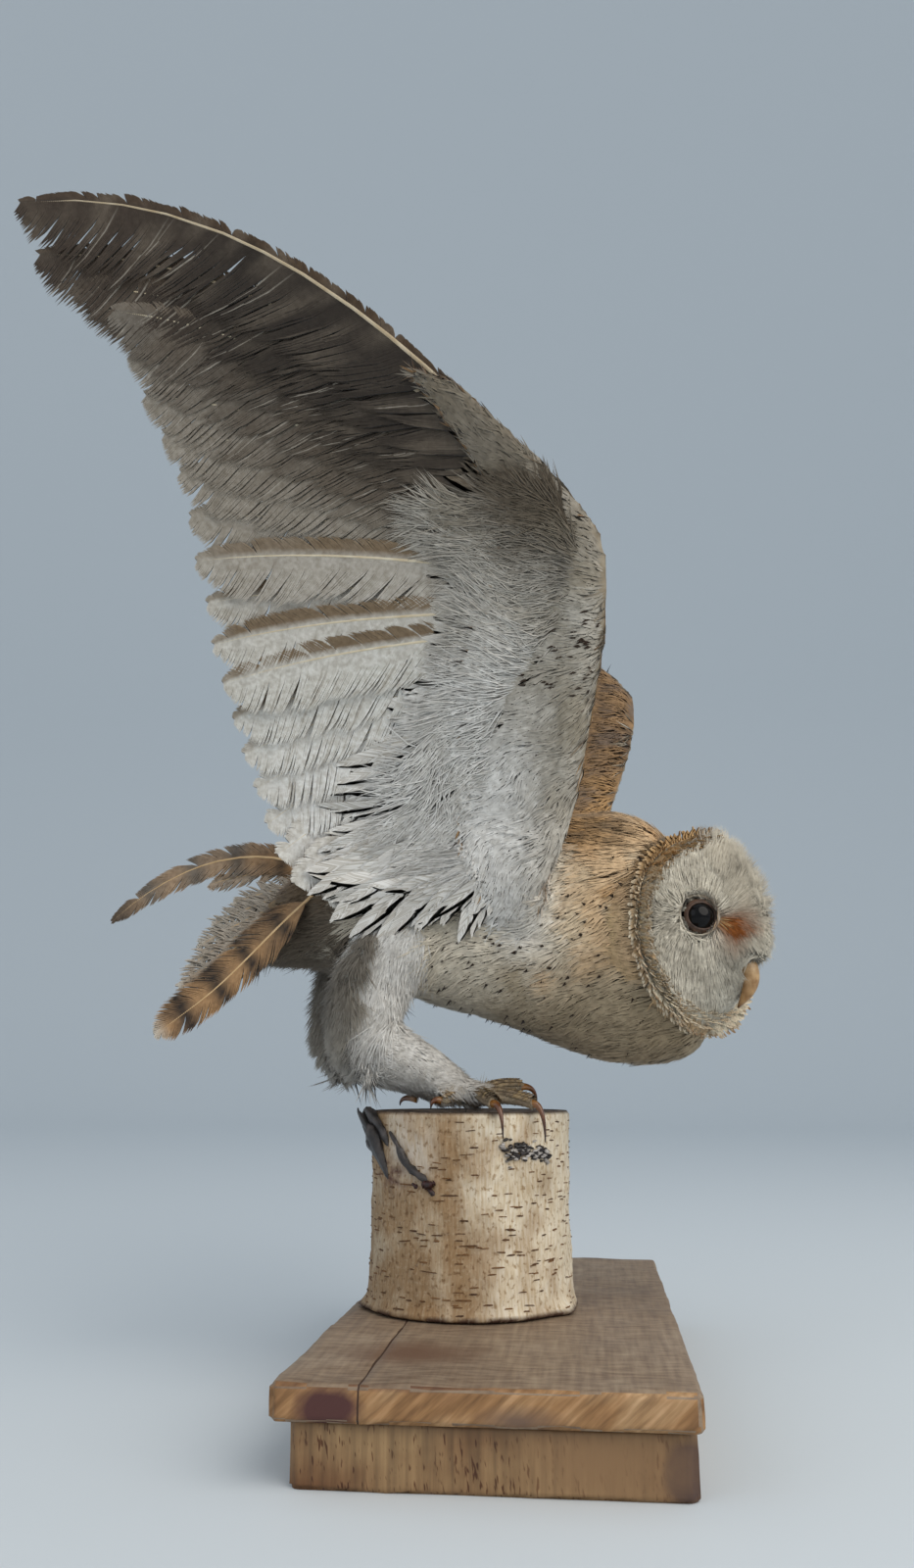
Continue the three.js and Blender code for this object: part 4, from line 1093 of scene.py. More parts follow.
for side, label in ((-1, "right"), (1, "left")):
    near = side < 0
    coverts(f"{label}_under_greater_coverts", side, 1, 600 if near else 400, (3.2, 17.5), GREATER_ROOTS, [(0, 36), (8, 38), (17, 42), (23, 40)],
            [(0, 8), (8, 9), (17, 11), (23, 11)], LEAF, under_tint, 81, lift=(1.6, 2.6, 1.6))
    coverts(f"{label}_under_median_coverts", side, 1, 900 if near else 600, (2.6, 20.0), MEDIAN_ROOTS, [(0, 22), (8, 26), (17, 34), (23, 36)],
            [(0, 5.5), (8, 7), (17, 8.5), (23, 8.5)], LEAF, under_tint, 82, lift=(1.6, 3.2, 2.4), scatter=0.12, curl=0.1)
    coverts(f"{label}_axillaries", side, 1, 620 if near else 400, (13.5, 22.4), AXILLARY_ROOTS, [(13, 34), (18, 44), (23, 42)],
            [(13, 6.5), (18, 7.5), (23, 7.5)], SPEAR, under_tint, 83, lift=(1.8, 3.2, 2.2), scatter=0.16, curl=0.16)
    coverts(f"{label}_under_down", side, 1, 9000 if near else 5000, (2.4, 22.4), RUFFLE_ROOTS,
            [(0, 14), (3, 20), (8, 24), (23, 26)], [(0, 1.0), (23, 1.5)], THREAD, under_tint, 87, shape=FIBRE,
            run=FIBRE_RUN, lift=(1.4, 3.4, 3.4), scatter=0.3, curl=0.12, material=DOWN, barbed=False)
    coverts(f"{label}_under_ruffles", side, 1, 9000 if near else 5000, (2.4, 22.0), RUFFLE_ROOTS,
            [(0, 14), (3, 20), (8, 24), (17, 26), (23, 26)], [(0, 0.7), (23, 0.85)], THREAD, under_tint, 84, shape=FIBRE,
            run=FIBRE_RUN, lift=(3.0, 6.0, 5.4), scatter=0.42, curl=0.2, material=DOWN, barbed=False)
    coverts(f"{label}_upper_greater_coverts", side, -1, 400, (1.5, 22.0), UPPER_GREATER, [(0, 42), (8, 40), (17, 44), (23, 40)],
            [(0, 9), (8, 12), (17, 13), (23, 13)], LEAF, upper_tint, 85)
    coverts(f"{label}_upper_median_coverts", side, -1, 760, (2.0, 22.0), UPPER_MEDIAN, [(0, 24), (8, 24), (17, 28), (23, 28)],
            [(0, 7), (8, 9), (17, 10), (23, 10)], LEAF, upper_tint, 86, lift=(1.6, 4.0, 3.4))


# ---------------------------------------------------------------- tail
TAIL_LAP = 0.12
TAIL_BARS = (0.2, 0.42, 0.62, 0.82)
TAIL_STEP = 1.0
# Each tail feather: its place from the left outer one (0) to the right (1), half widths of its upper and lower
# vanes, its length as a share of a whole one, how far it lies off the fan, how worn it is, and how pale.
TAIL_SET = [(0.0, 10.0, 14.0, 1.0, 0.0, 0.15, 0.35), (0.09, 5.0, 8.5, 0.6, -1.5, 1.2, 0.6), (0.3, 8.0, 12.0, 0.55, 0.0, 1.6, 0.9),
            (0.4, 10.0, 10.0, 0.7, 0.8, 2.0, 0.9), (0.5, 11.0, 10.0, 0.8, 1.6, 2.0, 1.0),
            (0.6, 12.0, 10.0, 0.88, 2.4, 2.2, 0.9), (0.7, 12.0, 10.0, 0.94, 3.2, 2.2, 0.8),
            (0.86, 14.0, 12.0, 0.97, 4.6, 0.6, 0.4), (0.98, 18.0, 15.0, 1.0, 6.5, 0.15, 0.0)]
# How far the near feathers bow out round the rump, by their place in the fan.
TAIL_CLEAR = ((0.0, 0.6, 0.8, 1.0), (0.0, 0.0, 8.0, 15.0))


def tail_line(number, share):
    """The shaft of a tail feather: number 0 is the left outer one and 1 the right."""
    roots, tips = np.array(TAIL_ROOTS, float), np.array(TAIL_TIPS, float)
    root = roots[0] + (roots[1] - roots[0]) * number
    tip = (1 - number) ** 2 * tips[0] + 2 * number * (1 - number) * tips[1] + number**2 * tips[2]
    arch = TAIL_ARCH[0] + (TAIL_ARCH[1] - TAIL_ARCH[0]) * math.sqrt(number)
    share = np.asarray(share, float)[..., None]
    return root + (tip - root) * share + UP * arch * 2 * share * (1 - share)


def tail():
    """The tail feathers, tan with dark bars and worn pale tips."""
    shares = np.linspace(0, 1, SHAFT_STATIONS)
    kept, shafts = [], []
    for row, (number, upper, lower, length, lift, worn, pale) in enumerate(TAIL_SET):
        draw = np.random.default_rng(700 + row)
        across = tail_line(min(number + 0.05, 1), shares) - tail_line(max(number - 0.05, 0), shares)
        shaft = tail_line(number, shares * length)
        flow = unit(np.gradient(shaft, axis=0))
        inward = unit(across - flow * (across * flow).sum(-1, keepdims=True))
        out = unit(np.cross(flow, inward))
        out = out * np.sign(-out[:, 1:2] + 1e-6)
        shaft = shaft + out * lift
        shaft[:, 1] -= np.interp(number, *TAIL_CLEAR) * (1 - ramp(shares, 0.1, 0.75))
        for reach, tilt in ((lower, -0.04), (-upper, TAIL_LAP)):
            centre, above, share, spread = vane_barbs(shaft, inward, out, reach, 0.06, draw, worn, tilt, TAIL_STEP,
                                                      taper=0.5 if row == 0 else 0.15)
            blotch = ripple(centre, 8, 90 + row)
            tone = over(linear("#B08A60"), "#7E6347", np.clip(0.3 + 0.5 * blotch + (0.25 if reach < 0 else 0), 0, 1))
            bands = sum(np.exp(-(((share - place) / 0.035) ** 2)) for place in TAIL_BARS)
            tone = over(tone, "#2E231B", np.clip(1.1 * bands * (0.95 - 0.5 * pale), 0, 1))
            tone = over(tone, "#BDB5A8", 0.85 * pale * ramp(share + 0.25 * np.abs(spread), 0.25, 0.6))
            tone = over(tone, "#D8D2C6", 0.9 * ramp(share, 0.9, 1.0) * (row > 1))
            tone = over(tone, "#D8D2C6", 0.8 * ramp(-spread, 0.72, 1.0) * (row > 6))
            tone = over(tone, "#453A30", 0.8 * ramp(share, 0.8, 0.97) * (row == 0))
            patch = np.stack([share, (row + 0.5 + 0.45 * spread) / len(TAIL_SET)], -1)
            kept.append((centre, above, tone, patch))
        shafts.append((shaft, out, number))
    centre, above, tone, patch = (np.concatenate(parts) for parts in zip(*kept))
    widths = TAIL_STEP * np.array([1.15, 1.25, 1.0, 0.0])
    joined_strands("tail_vanes", LOCK, centre, above, widths, 0.4, tone, patch, (0.006, 0.0), VANE,
                   replaced=("tail_left", "tail_right"))
    picks = np.linspace(0, SHAFT_STATIONS - 1, QUILL.rings).astype(int)
    centre = np.stack([shaft[picks] for shaft, _, _ in shafts])
    out = np.stack([outward[picks] for _, outward, _ in shafts])
    thick = 1.5 * (1 - 0.8 * shares[picks])
    numbers = np.array([number for _, _, number in shafts])
    patch = np.stack(np.broadcast_arrays(shares[picks], numbers[:, None]), -1)
    joined_strands("tail_shafts", QUILL, centre, out, thick, thick, linear("#D9B98A"), patch, (0.0, 0.02), SHAFT)


tail()


# ---------------------------------------------------------------- lofts: bill, claws
def lofted(name, rings, sides, material, tint=None, replaced=()):
    """A closed piece skinned over rings, each (centre, across, up) with its half sizes in the last two."""
    bm = bmesh.new()
    loops = []
    for centre, across, up in rings:
        forward = np.cross(unit(across), unit(up))
        matrix = Matrix([[across[i], up[i], forward[i], centre[i]] for i in range(3)] + [[0, 0, 0, 1]])
        made = bmesh.ops.create_circle(bm, cap_ends=False, segments=sides, radius=1.0, matrix=matrix)["verts"]
        loops.append(list({edge for vert in made for edge in vert.link_edges}))
    for first, second in zip(loops, loops[1:]):
        bmesh.ops.bridge_loops(bm, edges=first + second)
    for loop in (loops[0], loops[-1]):
        bmesh.ops.edgeloop_fill(bm, edges=loop)
    bmesh.ops.recalc_face_normals(bm, faces=bm.faces)
    mesh = bpy.data.meshes.new(name)
    bm.to_mesh(mesh)
    bm.free()
    co = np.zeros(len(mesh.vertices) * 3)
    mesh.vertices.foreach_get("co", co)
    mesh.vertices.foreach_set("co", placed(co.reshape(-1, 3)).ravel())
    mesh.shade_smooth()
    if tint is not None:
        ring = np.arange(len(mesh.vertices)) // sides
        colours = np.concatenate([tint(ring / (len(rings) - 1)), np.ones((len(ring), 1))], -1)
        layer = mesh.color_attributes.new("tint", "FLOAT_COLOR", "POINT")
        layer.data.foreach_set("color", colours.astype(np.float32).ravel())
    return piece(name, mesh, material, replaced)


# Bill: horn worn to a dull polish, streaked along its length.
BILL_HORN = finish_of("bill_horn_dull_polish", tinted("#B9A58C", "#FFFFFF", 1.6), 0.34,
                      normal=lambda tree: bump(tree, object_noise(tree, 0.8, (1, 1, 0.3)).outputs["Fac"], 0.3, 0.2))
# Claws: dense horn, glossy and amber where light comes through.
CLAW_HORN = finish_of("claw_horn_glossy_amber", tinted("#B08A62", "#FFFFFF", 1.8), 0.2, **{"Coat Weight": 0.5, "Coat Roughness": 0.12})


BILL_SUNK = 3.2


def bill_tint(share):
    tone = over(linear("#C4A880"), "#B08A5C", ramp(share, 0.3, 0.8))
    return over(tone, "#6B4A2C", ramp(share, 0.86, 1.0))


def bill_piece(name, stations, rings):
    keyed = [(i, *station) for i, station in enumerate(stations)]
    values = through(keyed, np.linspace(0, len(stations) - 1, rings))
    flow = unit(np.gradient(values[:, :2], axis=0))
    made = []
    for (f, u, deep, broad), (along_f, along_u) in zip(values, flow):
        up = -along_u * HEAD_FORWARD + along_f * UP
        made.append((head_place(f - BILL_SUNK, 0, u), HEAD_RIGHT * max(broad, 0.3), up * max(deep, 0.3)))
    lofted(f"{name}_horn", made, 20, BILL_HORN, bill_tint, (name,))


bill_piece("upper_bill", UPPER_BILL, 26)
bill_piece("lower_bill", LOWER_BILL, 12)

LEG_SPREAD = 27.0
LEFT_LEG_BACK = 26.0
PALM = (7.0, 6.6)
TOE_FALL = 2.2
TOE_ARCH = 1.6
TOE_RADIUS = 3.5
TOES = {"right": {"outer": (50, 18, -1, 7.5, 14), "middle": (13, 29, -1, 5, 16), "inner": (-44, 25, 6, 10, 7),
                  "hind": (152, 16, 0, 4, 3)},
        "left": {"outer": (62, 16, 0, 9, 3), "middle": (12, 27, 0, 9, 3), "inner": (-34, 23, 0, 9, 3),
                 "hind": (172, 16, 0, 7, 3)}}
CLAW_RADIUS = 1.9
CLAW_TIP = 0.25
CLAW_ROOT = 2.5
CLAW_RISE = 2.4
CLAW_TAPER = 1.3


def toe_line(label, toe):
    """A toe's way out, its root and its end."""
    side, back = (-1, 0.0) if label == "right" else (1, LEFT_LEG_BACK)
    heading, length, lift, reach, drop = TOES[label][toe]
    angle = math.radians(heading)
    out = np.array([math.cos(angle), side * math.sin(angle), 0.0])
    root = np.array([PALM[0] - back, side * LEG_SPREAD, PALM[1]])
    return out, root, root + out * length + UP * (lift - TOE_FALL), reach, drop


def claw_tint(share):
    tone = over(linear("#A87A42"), "#6B3F1D", ramp(share, 0.05, 0.5))
    return over(tone, "#2E1C12", ramp(share, 0.6, 1.0))


def claw(label, toe):
    out, root, end, reach, drop = toe_line(label, toe)
    start = end - out * CLAW_ROOT
    bend = end + out * reach + UP * CLAW_RISE
    tip = end + out * reach - UP * drop
    share = np.linspace(0, 1, 18)[:, None]
    line = (1 - share) ** 2 * start + 2 * share * (1 - share) * bend + share**2 * tip
    flow = unit(np.gradient(line, axis=0))
    across = np.array([-out[1], out[0], 0.0])
    half = CLAW_RADIUS + (CLAW_TIP - CLAW_RADIUS) * share[:, 0] ** CLAW_TAPER
    rings = [(c, across * r, np.cross(f, across) * r) for c, f, r in zip(line, flow, half)]
    lofted(f"{label}_{toe}_claw_horn", rings, 14, CLAW_HORN, claw_tint, (f"{label}_{toe}_claw",))


def toe_scales(label):
    """Small overlapping scutes along the top and sides of each toe."""
    rows = []
    for toe in TOES[label]:
        out, root, end, _, _ = toe_line(label, toe)
        across = np.array([-out[1], out[0], 0.0])
        length = np.linalg.norm(end - root)
        for step in np.arange(4.0, length - 0.5, 1.7):
            share = step / length
            centre = root + (end - root) * share + UP * TOE_ARCH * math.sin(math.pi * share)
            for lean in (-1.1, -0.55, 0.0, 0.55, 1.1):
                way = UP * math.cos(lean) + across * math.sin(lean)
                rows.append((centre + way * (TOE_RADIUS * (1.0 if abs(lean) < 0.1 else 0.96)), out, way))
    spot, out, way = (np.array(column) for column in zip(*rows))
    t = PLUME_RUN
    centre = spot[:, None] + out[:, None] * ((t - 0.4) * 2.5)[:, None] + way[:, None] * (0.15 + 0.3 * t)[:, None]
    draw = np.random.default_rng(300)
    tone = over(linear("#8A7963"), "#B39C76", draw.uniform(0, 1, len(centre)) ** 2)
    tone = tone * draw.uniform(0.7, 1.1, (len(centre), 1))
    patch = wing_patches(spot)[:, None] + (t[:, None] - 0.5) * np.array([0.0, PATCH])
    joined_strands(f"{label}_toe_scutes", PLUME, centre, way, 2.1 * np.array((0.8, 1, 1, 0.95, 0.8, 0.5, 0)), 0.5,
                   tone[:, None], patch, (PATCH, 0.0), TOE_SKIN, softness=0.2)


# Toe scutes: dry leathery scales with a dull waxy face.
TOE_SKIN = finish_of("toe_scutes_dry_leathery", tinted("#A79A86", "#FFFFFF", 0.9), 0.6)
for label in SIDES:
    for toe in TOES[label]:
        claw(label, toe)
    toe_scales(label)
    feet = faces_of(f"{label}_foot")
    tufts(f"{label}_toe_bristles", feet, 900, 3.2, 0.4, 5.0, 50, deep=0.25, scatter=0.5, base=0.0,
          tint=lambda root, owner: np.broadcast_to(linear("#A99B84"), root.shape))


# ---------------------------------------------------------------- eyes and lids
# Glass eyes: black-brown glass with a hard clear gloss.
EYE_GLASS = finish_of("taxidermy_glass_eye_black_brown",
                      lambda tree: ramp_node(tree, object_noise(tree, 3).outputs["Fac"], [(0.3, "#030305"), (0.7, "#0A0809")]),
                      0.05, **{"IOR": 1.5, "Specular IOR Level": 0.2})
# Lids: bare skin, dark brown and finely creased.
LID_SKIN = finish_of("eyelid_skin_creased",
                     lambda tree: ramp_node(tree, object_noise(tree, 0.8).outputs["Fac"], [(0.3, "#281A13"), (0.7, "#5E4434")]),
                     0.55, normal=lambda tree: bump(tree, object_noise(tree, 0.5).outputs["Fac"], 0.6, 0.3))
CORNEA_REACH = 0.7
LID_EDGE = math.radians(53)
LID_END = math.radians(66)
LID_NARROW = math.radians(10)
LID_IN = 7.9
LID_OUT = 8.7


def eye(label, side):
    """One glass eye with a raised cornea, and the lid rim around it."""
    middle = head_place(EYE_SET, side * EYE_ACROSS, 0)
    gaze = unit(HEAD_FORWARD * 1.0 + side * HEAD_RIGHT * 0.62)
    turn = Vector(gaze).to_track_quat("Z", "Y").to_matrix().to_4x4()
    bm = bmesh.new()
    bmesh.ops.create_uvsphere(bm, u_segments=40, v_segments=28, radius=EYE_RADIUS)
    for vert in bm.verts:
        vert.co.z += CORNEA_REACH * float(ramp(vert.co.z / EYE_RADIUS, 0.55, 0.95))
    bmesh.ops.transform(bm, matrix=Matrix.Translation(middle) @ turn, verts=bm.verts)
    close_owl_piece(bm, f"{label}_glass_eye", EYE_GLASS, (f"{label}_eye",))
    bm = bmesh.new()
    spread = np.linspace(LID_EDGE, LID_END, 7)
    profile = [(LID_OUT * math.sin(a), 0, LID_OUT * math.cos(a)) for a in spread]
    profile += [(LID_IN * math.sin(a), 0, LID_IN * math.cos(a)) for a in spread[::-1]]
    made = [bm.verts.new(point) for point in profile]
    for first, second in zip(made, made[1:] + made[:1]):
        bm.edges.new((first, second))
    bmesh.ops.spin(bm, geom=bm.verts[:] + bm.edges[:], cent=(0, 0, 0), axis=(0, 0, 1), angle=2 * math.pi, steps=48,
                   use_merge=True)
    for vert in bm.verts:
        around = math.atan2(vert.co.y, vert.co.x)
        polar = math.atan2(math.hypot(vert.co.x, vert.co.y), vert.co.z)
        reach = vert.co.length + (0.15 * math.sin(polar * 60) if vert.co.length > (LID_IN + LID_OUT) / 2 else 0)
        polar -= LID_NARROW * math.sin(around) ** 2 * (LID_END - polar) / (LID_END - LID_EDGE)
        vert.co = (reach * math.sin(polar) * math.cos(around), reach * math.sin(polar) * math.sin(around),
                   reach * math.cos(polar))
    bmesh.ops.transform(bm, matrix=Matrix.Translation(middle) @ turn, verts=bm.verts)
    close_owl_piece(bm, f"{label}_eyelids", LID_SKIN)


def close_owl_piece(bm, name, material, replaced=()):
    """Turns a bmesh in owl points into a smooth piece in its place."""
    bmesh.ops.remove_doubles(bm, verts=bm.verts, dist=0.001)
    bmesh.ops.recalc_face_normals(bm, faces=bm.faces)
    mesh = bpy.data.meshes.new(name)
    bm.to_mesh(mesh)
    bm.free()
    co = np.zeros(len(mesh.vertices) * 3)
    mesh.vertices.foreach_get("co", co)
    mesh.vertices.foreach_set("co", placed(co.reshape(-1, 3)).ravel())
    mesh.shade_smooth()
    return piece(name, mesh, material, replaced)


eye("right", 1)
eye("left", -1)


# ---------------------------------------------------------------- ruff
RUFF_ROWS = [(0.9, 0.9, 3.4), (0.935, 0.6, 4.0), (0.97, 0.35, 4.6), (1.0, 0.0, 4.6), (1.0, -0.6, 4.4)]
RUFF_STEP = 1.5
RUFF_HIGH = 2.2


def ruff():
    """The ruff: stiff little feathers in close rows on the rim of the disc, cream with brown edges."""
    rows = []
    for row, (reach, forward, size) in enumerate(RUFF_ROWS):
        count = int(290 * reach / RUFF_STEP)
        angle = 2 * math.pi * (np.arange(count) + 0.5 * (row % 2)) / count
        low = np.exp(-(((np.degrees(angle) - 225 + 180) % 360 - 180) / 42) ** 2)
        right = HEAD_HALF_WIDTH * (reach - 0.1 * low * (1 - min(row, 3) / 3)) * np.cos(angle)
        up = HEAD_MIDDLE + HEAD_HALF_HEIGHT * (reach - 0.1 * low * (1 - min(row, 3) / 3)) * np.sin(angle)
        root = head_place(face_front(right, up) - 3.0, right, up)
        out = unit(np.cos(angle)[:, None] * HEAD_RIGHT + np.sin(angle)[:, None] * UP)
        way = unit(0.55 * out + forward * HEAD_FORWARD - 0.25 * UP)
        face = unit(HEAD_FORWARD - way * (way @ HEAD_FORWARD)[:, None])
        rows.append((root, way, face, size * (1 + 0.35 * low), angle, np.full(count, row)))
    root, way, face, size, angle, row = (np.concatenate(column) for column in zip(*rows))
    draw = np.random.default_rng(310)
    size = size * draw.uniform(0.8, 1.15, len(size))
    way = unit(way + 0.2 * draw.normal(0, 1, way.shape))
    t = PLUME_RUN
    centre = root[:, None] + way[:, None] * (size[:, None] * t)[..., None] + face[:, None] * (RUFF_HIGH * t * t)[:, None]
    high = ramp(np.sin(angle), 0.2, 0.8)
    tone = over(over(linear("#F6EBD3"), "#E3B677", 0.8 * high), "#C79A62", 0.2 * ripple(root, 9, 311) ** 2)
    edge = over(tone, "#8A6238", np.where(row == 3, 0.9, 0.25) * draw.uniform(0.4, 1, len(row)))
    tone = over(tone, "#C9A06C", 0.7 * (row == 4))
    tip = (t > 0.7)[:, None]
    tone = tone[:, None] * (1 - tip) + edge[:, None] * tip
    patch = wing_patches(root)[:, None] + (t[:, None] - 0.5) * np.array([0.0, PATCH])
    joined_strands("ruff", PLUME, centre, face, 2.3 * np.array((0.6, 0.9, 1, 1, 0.85, 0.55, 0)), 0.5, tone, patch,
                   (PATCH, 0.0), COVERT, softness=0.6, barbed=True)


ruff()
near_bill = disc & (np.abs(head_axes(skin.centre)[1]) < 8) & (np.abs(head_axes(skin.centre)[2] + 9) < 11)


def down_bill(root, owner):
    """Bristles sweep from the ridge of the face down and forward over the bill."""
    return np.broadcast_to(unit(HEAD_FORWARD * 0.15 - UP), root.shape)


tufts("bill_bristles", near_bill, 2400, 10, 0.45, 1.5, 41, deep=0.3, way=down_bill, base=0.2)
ridge = disc & (np.abs(head_axes(skin.centre)[1]) < 12) & (head_axes(skin.centre)[2] > -11)


def fringe_stand(root, owner):
    """How far the fringe stands off the ridge: most on the brow, least over the bill."""
    return 1.3 + 1.3 * ramp(head_axes(root)[2], -8, 10)


tufts("ridge_fringe", ridge, 4600, 9.0, 0.35, fringe_stand, 42, deep=0.3, scatter=0.2)


def speck_tint(root, owner):
    return np.broadcast_to(linear("#3B2E24"), root.shape)


speckled = faces_of("trunk", "neck") & (skin.centre[:, 0] < 88) & (skin.centre[:, 2] < 112)
tufts("breast_specks", speckled, 340, 2.0, 1.5, 1.3, 60, base=1.1, curl=0.02, tint=speck_tint, painted_root_shade=1.0,
      pull=0.0)
for side, label in ((-1, "right"), (1, "left")):
    h, bulge = wing_axes(skin.centre)
    edge = faces_of(f"{label}_wing_arm") & (bulge > 0) & (h > 60) & (skin.centre[:, 0] > 40)
    tufts(f"{label}_wing_specks", edge, 60, 2.8, 1.3, 1.2, 62, base=1.1, tint=speck_tint, painted_root_shade=1.0,
          pull=0.0)

# ---------------------------------------------------------------- the birch log
LOG_AXIS = LOG_TOP[0]
LOG_RADIUS = 46.0
LOG_HEIGHT = 85.0
PLATE_TOP = 33.5
LOG_OUTLINE = [(0.0, -0.6), (0.5, 0.6), (1.6, 2.2), (3.6, 1.1), (7.0, 0.3), (24.0, -0.7), (60.0, -0.6), (84.2, 0.1), (85.0, -0.9)]
LOG_CELLS = (200, 54)
FLARES = ((-24.0, 4.2, 9.0), (-168.0, 3.0, 12.0), (-80.0, 1.0, 22.0))


def log_place(angle, below, off=0.0):
    """A place on the bark in the frame's millimetres: angle in degrees round the log, below its top edge, off it."""
    a = np.radians(angle)
    height = LOG_HEIGHT - np.asarray(below, float)
    heights, grows = np.array(LOG_OUTLINE).T
    grow = np.interp(height, heights, grows)
    for place, out, spread in FLARES:
        near = (np.asarray(angle) - place + 180) % 360 - 180
        grow = grow + out * np.exp(-((near / spread) ** 2) - (height / 4.0) ** 2)
    reach = (LOG_RADIUS + grow) * (1 + 0.008 * np.sin(2 * a + 0.6) + 0.006 * np.sin(5 * a)) + off
    return np.stack(np.broadcast_arrays(LOG_AXIS + reach * np.cos(a), reach * np.sin(a), PLATE_TOP + height), -1)


def bark_wear(angle, below):
    """How far the torn patches of bark sink or stand, in mm."""
    spots = np.stack([np.asarray(angle) * 0.8, np.asarray(below, float), 0 * np.asarray(angle)], -1)
    return 0.35 * ripple(spots, 14, 201) + 0.22 * ripple(spots, 4, 202) + 0.12 * ripple(spots * (3, 0.5, 1), 3, 203)


def near_spot(angle, below, place, depth, wide, tall):
    return np.exp(-(((angle - place) / wide) ** 2) - ((below - depth) / tall) ** 2)


def bark_tint_with_painted_light(angle, below):
    """The bark's colour at its places: its own colour, paler round the front and right, partly its own pale patch and
    partly painted light, and darker on the left and back, partly painted shade.
    """
    angle = (angle + 180) % 360 - 180
    spots = np.stack([angle * 0.8, below, 0 * angle], -1)
    # Paler round the front and right: partly the bark's own pale patch, partly painted light; darker on the left:
    # partly painted shade.
    pale = ramp(angle + 12 * ripple(spots, 20, 210), -106, -60) * ramp(40 - angle, 0, 30)
    tone = over(linear("#9C8262"), "#E2D7C3", pale)
    tone = over(tone, "#9C7D58", np.clip(ripple(spots, 12, 211), 0, 1) * 0.5)
    tone = over(tone, "#DED2BC", np.clip(ripple(spots * (1, 0.6, 1), 7, 212), 0, 1) * 0.3)
    torn = near_spot(angle, below, -127, 12, 9, 14) + near_spot(angle, below, -112, 18, 8, 10)
    tone = over(tone, "#D9CFC2", np.clip(torn, 0, 1) * 0.75)
    burnt = near_spot(angle, below, -134, 27, 12, 6) * (0.6 + 0.6 * ripple(spots, 3, 213))
    tone = over(tone, "#5C3B2E", np.clip(burnt, 0, 1))
    stain = near_spot(angle, below, -45, 28, 18, 9) * 0.45
    tone = over(tone, "#9A8565", np.clip(stain, 0, 1))
    tone = over(tone, "#3B2A20", ramp(1.3 + 0.5 * ripple(spots, 5, 214) - below, 0, 0.9))
    low = below - LOG_HEIGHT + 2.2 + 0.9 * ripple(spots, 7, 215)
    return over(tone, "#4A3022", ramp(low, 0, 0.9))


def bark_map(tree):
    return add(tree, "UVMap", uv_map="bark").outputs["UV"]


def bark_noise(tree, wide_mm, tall_mm, detail=3.0):
    """Noise in the bark's own lie, blotches so wide round the log and so tall."""
    stretch = (0.5 / (wide_mm * MM), 0.5 / (tall_mm * MM), 1.0)
    mapped = add(tree, "Mapping", {"Vector": bark_map(tree), "Scale": stretch})
    return add(tree, "TexNoise", {"Vector": mapped.outputs["Vector"], "Scale": 1.0, "Detail": detail}).outputs["Fac"]


def bark_colour(tree):
    tint = add(tree, "Attribute", attribute_name="tint").outputs["Color"]
    fibres = ramp_node(tree, bark_noise(tree, 0.6, 4.0), [(0.34, "#E2D6C4"), (0.48, "#F4EFE6"), (0.62, "#FFFFFF")])
    flecks = ramp_node(tree, bark_noise(tree, 1.0, 1.3, 4.0), [(0.33, "#BFAE97"), (0.45, "#FFFFFF")])
    flakes = ramp_node(tree, bark_noise(tree, 0.8, 0.9, 4.0), [(0.55, "#000000"), (0.66, "#FFFFFF")])
    base = mix(tree, 1.0, mix(tree, 1.0, tint, fibres, "MULTIPLY"), flecks, "MULTIPLY")
    return mix(tree, mix(tree, 1.0, flakes, rgba("#6A6A6A"), "MULTIPLY"), base, rgba("#E6D6BB"))


# Silver birch bark, dried: papery, dull, tan with pale upright fibres.
BIRCH_BARK = finish_of("birch_bark_dry_papery", bark_colour, 0.72,
                       normal=lambda tree: bump(tree, bark_noise(tree, 0.55, 4.0), 0.55, 0.5))


def ring_colour(tree):
    place = add(tree, "TexCoord").outputs["Object"]
    centred = add(tree, "Mapping", {"Vector": place, "Location": (-LOG_AXIS * MM, 0.0, 0.0)}).outputs["Vector"]
    rings = add(tree, "TexWave", {"Vector": centred, "Scale": 62.0, "Distortion": 1.2, "Detail": 3.0, "Detail Scale": 1.4},
                wave_type="RINGS", rings_direction="Z").outputs["Fac"]
    rings = ramp_node(tree, rings, [(0.2, "#6E5B4C"), (0.8, "#93806D")])
    return mix(tree, 1.0, rings, ramp_node(tree, object_noise(tree, 9).outputs["Fac"], [(0.35, "#A69A90"), (0.7, "#FFFFFF")]),
               "MULTIPLY")


# Sawn end of the log: greyed open grain with growth rings.
SAWN_END = finish_of("birch_end_grain_greyed", ring_colour, 0.85,
                     normal=lambda tree: bump(tree, object_noise(tree, 0.8).outputs["Fac"], 0.5, 0.4))
# Burnt-looking bark ridges: black, hard, faintly glossy.
SCAR = finish_of("birch_bark_black_ridge", tinted("#6F6A68", "#FFFFFF", 2.0), 0.42,
                 normal=lambda tree: bump(tree, object_noise(tree, 1.2, (1, 1, 0.4)).outputs["Fac"], 0.6, 0.5))
BARK_WALL = 1.6
CORE_DROP = 0.5


